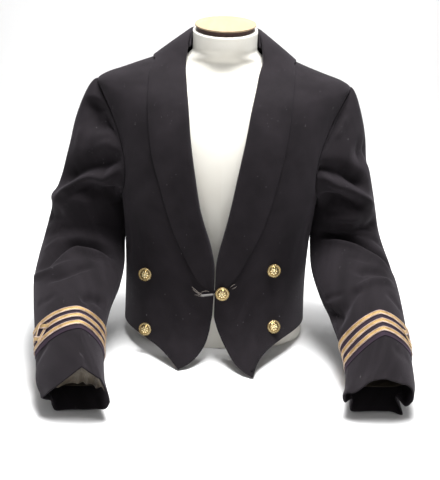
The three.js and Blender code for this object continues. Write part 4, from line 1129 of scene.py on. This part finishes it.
def side_body(side):
    name = side_name(side)
    low = low_rows(side, lambda z: side_seam_at(z) + gap_at(z), lambda z: back_seam(z) - gap_at(z), 70)
    z, edge = armhole_edge(mix(180, BACK_SEAM_MEETS, steps(80)[4:]), -1)
    z, edge = z[:, None], edge[:, None]
    phi = mix(edge, join_at(z, edge) - gap_at(z), steps(70))
    high = on_torso(side, phi, z)
    wool_piece(f"side_body_{name}", *joined(low, high), ["form_body"], sewn=(1, 2, 3))


def back(side):
    name = side_name(side)
    low = low_rows(side, lambda z: back_seam(z) + gap_at(z), middle_back, 110)
    below, above = np.linspace(180, BACK_SEAM_MEETS, 32)[1:], np.linspace(BACK_SEAM_MEETS, 360, 44)[1:]
    turns = np.concatenate([below, above])
    z, edge = armhole_edge(turns, -1)
    edge = np.where(turns > BACK_SEAM_MEETS, edge, join_at(z, edge) + gap_at(z))
    top = mix(z[-1], SHOULDER_TOP, steps(48)[4:])
    z = np.concatenate([z, top])[:, None]
    edge = np.concatenate([edge, math.pi / 2 + SHOULDER_GAP / torso_at(top).back])[:, None]
    phi = mix(edge, middle_back(z), steps(110))
    high = on_torso(side, phi, z)
    wool_piece(f"back_{name}", *joined(low, high), ["form_body"], sewn=(1, 2, 3))


# ---------------------------------------------------------------- shawl collar
collar_at = curve(COLLAR, "round")
COLLAR_ROUNDS = np.array([60.0, 72, 88, 104, 120, 140, 160, 180])
SHAWL_HEIGHTS = np.array([107.0, 114, 122, 134, 150, 174, 204, 236, 268, 300, 332, 360, 384, 404, 420])
ROLL = SimpleNamespace(reach=4.5, down=4.6)  # how the collar's fold rounds over


def resampled(points, count):
    """A grid with count rows, on smooth curves through the rows of a coarser one."""
    run = np.insert(np.cumsum(np.linalg.norm(np.diff(points, axis=0), axis=2).mean(1)), 0, 0)
    wanted = run[-1] * steps(run[-1], run[-1] / count)
    flat = points.reshape(len(points), -1)
    rows = [dict(at=at, **{str(i): value for i, value in enumerate(row)}) for at, row in zip(run, flat)]
    found = curve(rows, "at")(wanted)
    return np.stack([getattr(found, str(i)) for i in range(flat.shape[1])], -1).reshape(-1, *points.shape[1:])


def shawl(side):
    name = side_name(side)
    w = steps(70, 2.4)
    heights = SHAWL_HEIGHTS[:, None]
    start, end = edge_angle(edge_at, side, heights), edge_angle(shawl_at, side, heights)
    phi = mix(start, end, w)
    points, normals = on_torso(side, phi, heights)
    lift = mix(SHAWL_LIFT.fold, SHAWL_LIFT.edge, smooth(w * 2))
    flat = points + normals * lift[:, None]

    row = collar_at(COLLAR_ROUNDS)
    turn = np.minimum(np.radians(COLLAR_ROUNDS), middle_back(row.edge))
    edge, out = on_torso(side, turn, row.edge)
    fold = stack(side * np.maximum(row.x, 0.2), row.y, row.z)
    rim = edge + out * SHAWL_LIFT.neck
    out = unit(np.stack([out[:, 0], out[:, 1], np.full(len(out), 0.6)], -1))[:, None]
    across = w[:, None]
    around = mix(fold[:, None], rim[:, None], across) + out * 7 * across * (1 - across)
    points = resampled(np.concatenate([flat, around]), 190)
    normals = grid_normals(points)
    if normals[20, 10] @ [0, -1, 0.2] < 0:
        normals = -normals
    inside = np.clip(ROLL.reach - lengths(points, 1), 0, ROLL.reach) / ROLL.reach
    roll = ROLL.down * (1 - np.sqrt(1 - inside**2))
    piece = wall(f"shawl_collar_{name}_cloth", points - normals * roll[..., None], normals, WOOL)
    declare(finish_piece(piece, f"shawl_collar_{name}"), points, [f"front_{name}", "form_body"])


def collar_stand():
    """The stand goes round the back of the neck in one piece, inside the collar's fold."""
    rounds = np.concatenate([COLLAR_ROUNDS[1:], COLLAR_ROUNDS[1:-1][::-1]])
    side = np.where(np.arange(len(rounds)) < len(COLLAR_ROUNDS) - 1, 1, -1)
    row = collar_at(rounds)
    x = side * row.x * (rounds < 180)
    out = unit(stack(x, row.y, 0 * x))
    top = stack(x, row.y, row.z - STAND.below) - out * STAND.inset
    low = top + out * (STAND.lean * (1 - np.abs(x) / 60))[:, None]
    low[:, 2] = np.minimum(STAND.seam, top[:, 2] - 4)
    t = steps(25, 2.4)[:, None]
    points = resampled(mix(low[:, None], top[:, None], t), 70)
    normals = unit((points - [0, 5, 0]) * [1, 1, 0])
    wool_piece("collar_stand", points, normals, ["shawl_collar_right_cloth", "form_body"], thick=STAND.thick)


# ---------------------------------------------------------------- sleeves
def sleeve(side):
    made = Sleeve(side)
    along = np.concatenate([-1 + steps(150, 1.9)[:-4], made.length * steps(made.length, 1.9)[4:]])
    for label, start, end, width in (
        ("top", SEAMS.hind, SEAMS.fore, 205),
        ("under", SEAMS.fore, SEAMS.hind + 360, 140),
    ):
        grid = made.grid(mix(start + 0.05, end - 0.05, steps(width, 2.3)), along)
        wool_piece(f"{label}_sleeve_{made.name}", *grid, [f"front_{made.name}", "form_body"], sewn=(0, 2, 3))
    braid(made)
    lining(made)


def band(made, start, width, degrees, across):
    """A strip round the sleeve, which runs unevenly round the inner side, as the braid does."""
    degrees, along = np.meshgrid(degrees, start + width * across)
    inner = np.maximum(0, -np.cos(np.radians(degrees))) ** 1.5
    return made.at(degrees, along + BRAID_TILT[made.name] * inner)


ALL_ROUND = np.arange(0, 360, 2) + SEAMS.hind
# Places across a lace, as shares of its width: closer on the cords along its edges.
LACE_ACROSS = np.array(
    [0, 0.03, 0.07, 0.12, 0.18, 0.23, 0.27, 0.31, 0.4, 0.5, 0.6, 0.69, 0.73, 0.77, 0.82, 0.88, 0.93, 0.97, 1]
)


def braid(made):
    """Three rings of gold lace on a band of purple cloth, the middle one with a knot."""
    pitch = BRAID.lace + BRAID.between
    low = made.length - BRAID.from_cuff
    top = low - 2 * pitch - BRAID.lace
    start, end = top - BRAID.over, low + BRAID.under
    lift = BRAID.cloth + BRAID_LIFT.ground
    points, normals = band(made, start, end - start, ALL_ROUND, steps(end - start, 2.4))
    ground = wall(f"braid_ground_{made.name}_cloth", points, normals, PURPLE, BRAID.cloth, lift, ring=True)
    finish_piece(ground, f"braid_ground_{made.name}")

    open_round = np.arange(DIAMOND.round + 14, DIAMOND.round + 346, 2)
    for label, from_top, degrees, ring in (
        ("upper", top, ALL_ROUND, True),
        ("middle", top + pitch, open_round, False),
        ("lower", low - BRAID.lace, ALL_ROUND, True),
    ):
        lace(made, label, from_top, degrees, ring, lift)
    knot(made, top + pitch + BRAID.lace / 2, lift + BRAID_LIFT.knot)
    looped = np.concatenate([points, points[:, :1]], 1)
    declare(ground, looped, [f"top_sleeve_{made.name}"])


def lace(made, label, start, degrees, ring, lift):
    """A ring of lace with a raised cord along each edge."""
    name = f"lace_{label}_{made.name}"
    points, normals = band(made, start, BRAID.lace, degrees, LACE_ACROSS)
    cord = 0.5 * np.exp(-(((np.abs(LACE_ACROSS - 0.5) - 0.36) / 0.09) ** 2)) - 0.12
    points = points + normals * cord[:, None, None]
    lift = lift + BRAID_LIFT.lace + BRAID.thick
    piece = wall(f"{name}_tape", points, normals, LACE, BRAID.thick, lift, ring)
    return finish_piece(piece, name)


def knot(made, middle, lift):
    """A square of lace set on its corner: four tapes that pass over and under each other."""
    half = DIAMOND.half - DIAMOND.width * 0.7
    parts = []
    for k in range(4):
        turn = math.radians(45 + 90 * k)
        run = np.linspace(-1, 1, 34) * (half * 0.7071 + DIAMOND.width * 0.9)
        across = np.linspace(-0.5, 0.5, 9) * DIAMOND.width
        s, t = np.meshgrid(run, across)
        off = half * 0.7071
        u = off * math.cos(turn) - s * math.sin(turn) + t * math.cos(turn)
        v = off * math.sin(turn) + s * math.cos(turn) + t * math.sin(turn)
        points, normals = made.at(DIAMOND.round + u * 1.15, middle + v)
        over = 0.55 * np.tanh(s / 5) + 0.3 * np.exp(-(((np.abs(t) / DIAMOND.width - 0.36) / 0.1) ** 2))
        parts.append(wall(f"knot_{k}", points + normals * over[..., None], normals, LACE, BRAID.thick, lift))
    bpy.ops.object.select_all(action="DESELECT")
    for part in parts:
        part.select_set(True)
    bpy.context.view_layer.objects.active = parts[0]
    bpy.ops.object.join()
    parts[0].name = f"lace_diamond_{made.name}_tape"
    return finish_piece(parts[0], f"lace_diamond_{made.name}")


def lining(made):
    """The sleeve lining: fixed near the mouth, and sagging in pleats from the top of the cuff."""
    sag = SAG[made.name]
    depth = curve(LINING_SAG, "at")
    mouth, low, high = LINING_REACH.mouth, LINING_REACH.low, LINING_REACH.top
    degrees, at = np.meshgrid(ALL_ROUND, mix(mouth, high, steps(62, 2)))
    top = smooth((np.sin(np.radians(degrees)) + 0.5) / 0.9)
    at = mix(mix(low, high, (at - mouth) / (high - mouth)), at, top)
    points, normals = made.at(degrees, made.length - at)
    floor, _ = made.at(np.full_like(at, -90.0), made.length - at)
    hang = depth(at).sag * smooth((np.sin(np.radians(degrees)) - 0.05) / 0.6)
    points = points - normals * (CLOTH + 1)
    points[..., 2] -= sag.share * hang * np.maximum(points[..., 2] - floor[..., 2] - 8, 0)
    pleat = 1 - 2 * np.abs(np.sin(np.radians(degrees - SEAMS.hind) * 6))
    points[..., 1] -= hang * sag.pleat * pleat
    piece = wall(f"sleeve_lining_{made.name}_cloth", points, normals, LINING_SATIN, LINING, ring=True)
    finish_piece(piece, f"sleeve_lining_{made.name}")
    declare(piece, np.concatenate([points, points[:, :1]], 1), [f"top_sleeve_{made.name}"])


# ---------------------------------------------------------------- buttons and link
def button_height(r, turn):
    """Height of a button's face, in millimetres: a dome, a rope rim and a rosette."""
    dome = 3.2 - 2.2 * (r / 9) ** 2.4
    rope = 0.9 * np.exp(-(((r - 8.6) / 0.7) ** 2)) * (0.7 + 0.3 * np.sin(26 * turn + 3.5 * (r - 8.6)))
    ring = 0.3 * np.exp(-(((r - 7.0) / 0.28) ** 2))
    petals = np.clip(np.cos(4 * turn) ** 2 * np.sin(np.clip((r - 1.6) / 4.6, 0, 1) * math.pi), 0, 1) ** 0.7
    boss = np.sqrt(np.clip(1 - (r / 1.7) ** 2, 0, 1))
    relief = 0.75 * petals + 0.9 * boss + rope + ring
    return dome, relief


def button(name, side, x, z, off, turn):
    """A domed gilt button with a rope rim and a rosette."""
    angles = np.radians(np.arange(0, 360, 3.0))
    r, a = np.meshgrid(np.linspace(0.02, 1, 46) * BUTTON_RADIUS, angles, indexing="ij")
    dome, relief = button_height(r, a)
    face = np.stack([r * np.cos(a), r * np.sin(a), dome + relief - 0.6], -1)
    edge = np.array([stack(q * np.cos(angles), q * np.sin(angles), h) for q, h in BUTTON_RIM])
    rings = np.concatenate([face, edge])
    rows, columns = rings.shape[:2]
    faces = ring_faces(rows, columns)[0][:, [0, 3, 2, 1]]
    uv = rings[..., :2].reshape(-1, 2)[faces]
    x, z = np.array([float(x)]), np.array([float(z)])
    point, normal = on_torso(side, angle_of(x, z), z)
    facing_out = Vector(unit(mix(normal[0], BUTTON_FACING, 0.62)))
    spin = Vector((0, 0, 1)).rotation_difference(facing_out).to_matrix()
    spin = spin @ Matrix.Rotation(math.radians(turn), 3, "Z")
    vertices = rings.reshape(-1, 3) @ np.array(spin).T + point[0] + normal[0] * off
    piece = mesh_object(f"{name}_gilt", vertices, faces, uv, GILT)
    add_caps(piece, [range(columns)[::-1], range((rows - 1) * columns, rows * columns)])
    shown = np.concatenate([np.clip(relief.ravel() / 0.8, 0, 1), np.full(len(BUTTON_RIM) * columns, 0.5)])
    attribute = piece.data.attributes.new("relief", "FLOAT", "POINT")
    attribute.data.foreach_set("value", shown.astype(np.float32))
    finish_piece(piece, name)


def frayed():
    """The worn ends of the buttonhole's stitches, and a few threads beside the middle button."""
    parts = []
    for x, z, to_x, to_z, bow in FRAYED:
        t = np.linspace(0, 1, 12)
        level = mix(z, to_z, t) + bow * np.sin(math.pi * t)
        out = np.abs(mix(x, to_x, t) - HANG_SHIFT * (1 - smooth(level / SHIFT_TOP)))
        side = math.copysign(1, x)
        middle, normal = on_torso(side, angle_of(out, level), level)
        middle = middle + normal * (FRAY.lift + 0.4 * np.sin(9 * t + x))[:, None]
        run = unit(np.gradient(middle, axis=0))
        turn = np.radians(np.arange(0, 360, 60))[None, :, None]
        ring = np.cos(turn) * normal[:, None] + np.sin(turn) * np.cross(run, normal)[:, None]
        taper = (FRAY.radius * np.sin(math.pi * mix(0.12, 0.88, t)))[:, None, None]
        parts.append(middle[:, None] + ring * taper)
    rows, columns = parts[0].shape[:2]
    quads = ring_faces(rows, columns)[0][:, [0, 3, 2, 1]]
    firsts = rows * columns * np.arange(len(parts))
    faces = np.concatenate([quads + first for first in firsts])
    vertices = np.array(parts).reshape(-1, 3)
    uv = vertices[:, [0, 2]][faces].reshape(-1, 2)
    piece = mesh_object("frayed_threads", vertices, faces, uv, THREAD_ENDS)
    ends = [first + np.arange(columns) + last for first in firsts for last in (0, (rows - 1) * columns)]
    add_caps(piece, ends)
    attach(piece, "root")


def add_caps(piece, loops):
    """Closes a piece's open ends, each given as the numbers of the points round it."""
    work = bmesh.new()
    work.from_mesh(piece.data)
    work.verts.ensure_lookup_table()
    for loop in loops:
        work.faces.new([work.verts[int(i)] for i in loop]).smooth = True
    bmesh.ops.recalc_face_normals(work, faces=work.faces)
    work.to_mesh(piece.data)
    work.free()


# ---------------------------------------------------------------- dress form
form_at = curve(FORM, "z")


def form():
    """A smooth limbless form in cream jersey, whose neck leans towards the front."""
    phi = np.radians(np.arange(0, 360, 2.5))
    whole = [(z, 1) for z in (*np.linspace(8, 380, 60), *np.linspace(385, 478.5, 48))]
    heights, shrink = np.array([*FORM_FOOT, *whole, *FORM_RIM], float).T
    z, round_it = np.meshgrid(heights, phi, indexing="ij")
    x, y = oval(form_at(z), round_it)
    x, y = x * shrink[:, None], y * shrink[:, None]
    lean = y * math.tan(math.radians(NECK.tilt)) * smooth((z - NECK.start) / (NECK.top - NECK.start))
    points = np.stack([x, y, z + lean], -1)
    rows, columns = points.shape[:2]
    faces, corners = ring_faces(rows, columns)
    looped = np.concatenate([points, points[:, :1]], 1)
    u, v = lengths(looped, 1), lengths(looped, 0)
    uv = np.stack([np.stack([u[a, b], v[a, b]], -1) for a, b in corners], -2).reshape(-1, 2)
    piece = mesh_object("form_jersey", points.reshape(-1, 3), faces, uv, JERSEY)
    add_caps(piece, [range(columns), range((rows - 1) * columns, rows * columns)])
    finish_piece(piece, "form_body")


# ---------------------------------------------------------------- everything
form()
for side in SIDES:
    front(side)
    side_body(side)
    back(side)
    shawl(side)
collar_stand()
for side in SIDES:
    sleeve(side)
for row in BUTTONS:
    button(**row)
frayed()


def dress_node(name, look):
    """Gives a CAD node that is shown as it is a procedural material."""
    node = frame["nodes"][name]
    node.data.materials.clear()
    node.data.materials.append(look)


dress_node("neck_cap", CAP_WOOD)
# The spacer's near-black wood is painted shade of the gap under the cap.
dress_node("neck_spacer", SPACER_SHADE_WOOD)
dress_node("link_bar", THREAD)


# ---------------------------------------------------------------- floor, light and camera
def floor():
    """A pale floor that curves up into a pale wall well behind the object."""
    turn = np.linspace(0, math.pi / 2, 13)
    bend = SimpleNamespace(y=2.4, radius=0.8)
    y = np.concatenate([[-4.0], bend.y + bend.radius * np.sin(turn), [bend.y + bend.radius]])
    z = np.concatenate([[0.0], bend.radius * (1 - np.cos(turn)), [4.0]]) - 0.0004
    x = np.array([-6.0, 6.0])
    grid = np.stack([np.broadcast_to(x, (len(y), 2)), np.broadcast_to(y[:, None], (len(y), 2)),
                     np.broadcast_to(z[:, None], (len(y), 2))], -1)
    faces = [[2 * i, 2 * i + 1, 2 * i + 3, 2 * i + 2] for i in range(len(y) - 1)]
    uv = np.array([grid[..., :2].reshape(-1, 2)[face] for face in faces]).reshape(-1, 2) / MM
    look = Look("floor_paint", Roughness=0.8)
    shade = look.noise(3, 2)
    tone = look.ramp(shade, (0.3, (0.91, 0.91, 0.91)), (0.7, (0.93, 0.93, 0.93)))
    plane = mesh_object("floor", grid.reshape(-1, 3) / MM, np.array(faces), uv, look.set(Base_Color=tone))


def light(name, place, target, size, power):
    """A soft square lamp at a place, facing a target."""
    lamp = bpy.data.lights.new(name, "AREA")
    lamp.shape = "SQUARE"
    lamp.size = size
    lamp.energy = power
    holder = bpy.data.objects.new(name, lamp)
    bpy.context.scene.collection.objects.link(holder)
    holder.location = place
    holder.rotation_euler = (Vector(target) - Vector(place)).to_track_quat("-Z", "Y").to_euler()


def world(strength):
    made = bpy.data.worlds.new("studio")
    made.use_nodes = True
    made.node_tree.nodes["Background"].inputs["Color"].default_value = (1, 1, 1, 1)
    made.node_tree.nodes["Background"].inputs["Strength"].default_value = strength
    bpy.context.scene.world = made


def camera():
    """In front of the jacket and a little above it, looking down, with a slight roll."""
    made = bpy.data.cameras.new("camera")
    made.lens = 59.85
    holder = bpy.data.objects.new("camera", made)
    bpy.context.scene.collection.objects.link(holder)
    aim = Matrix.Rotation(math.radians(90 - 17.4), 4, "X") @ Matrix.Rotation(math.radians(1.5), 4, "Z")
    holder.matrix_world = Matrix.Translation((0, -1.25, 0.537)) @ aim
    bpy.context.scene.camera = holder


floor()
world(0.25)
light("key", (0.12, -0.22, 1.7), (0, -0.1, 0.15), 0.7, 52)
light("front", (0.3, -2.8, 1.5), (0, -0.1, 0.25), 1.2, 4)
light("backdrop", (0, 1.2, 2.6), (0, 3.0, 0.6), 2.0, 60)
camera()
bpy.context.scene.view_settings.view_transform = "Standard"
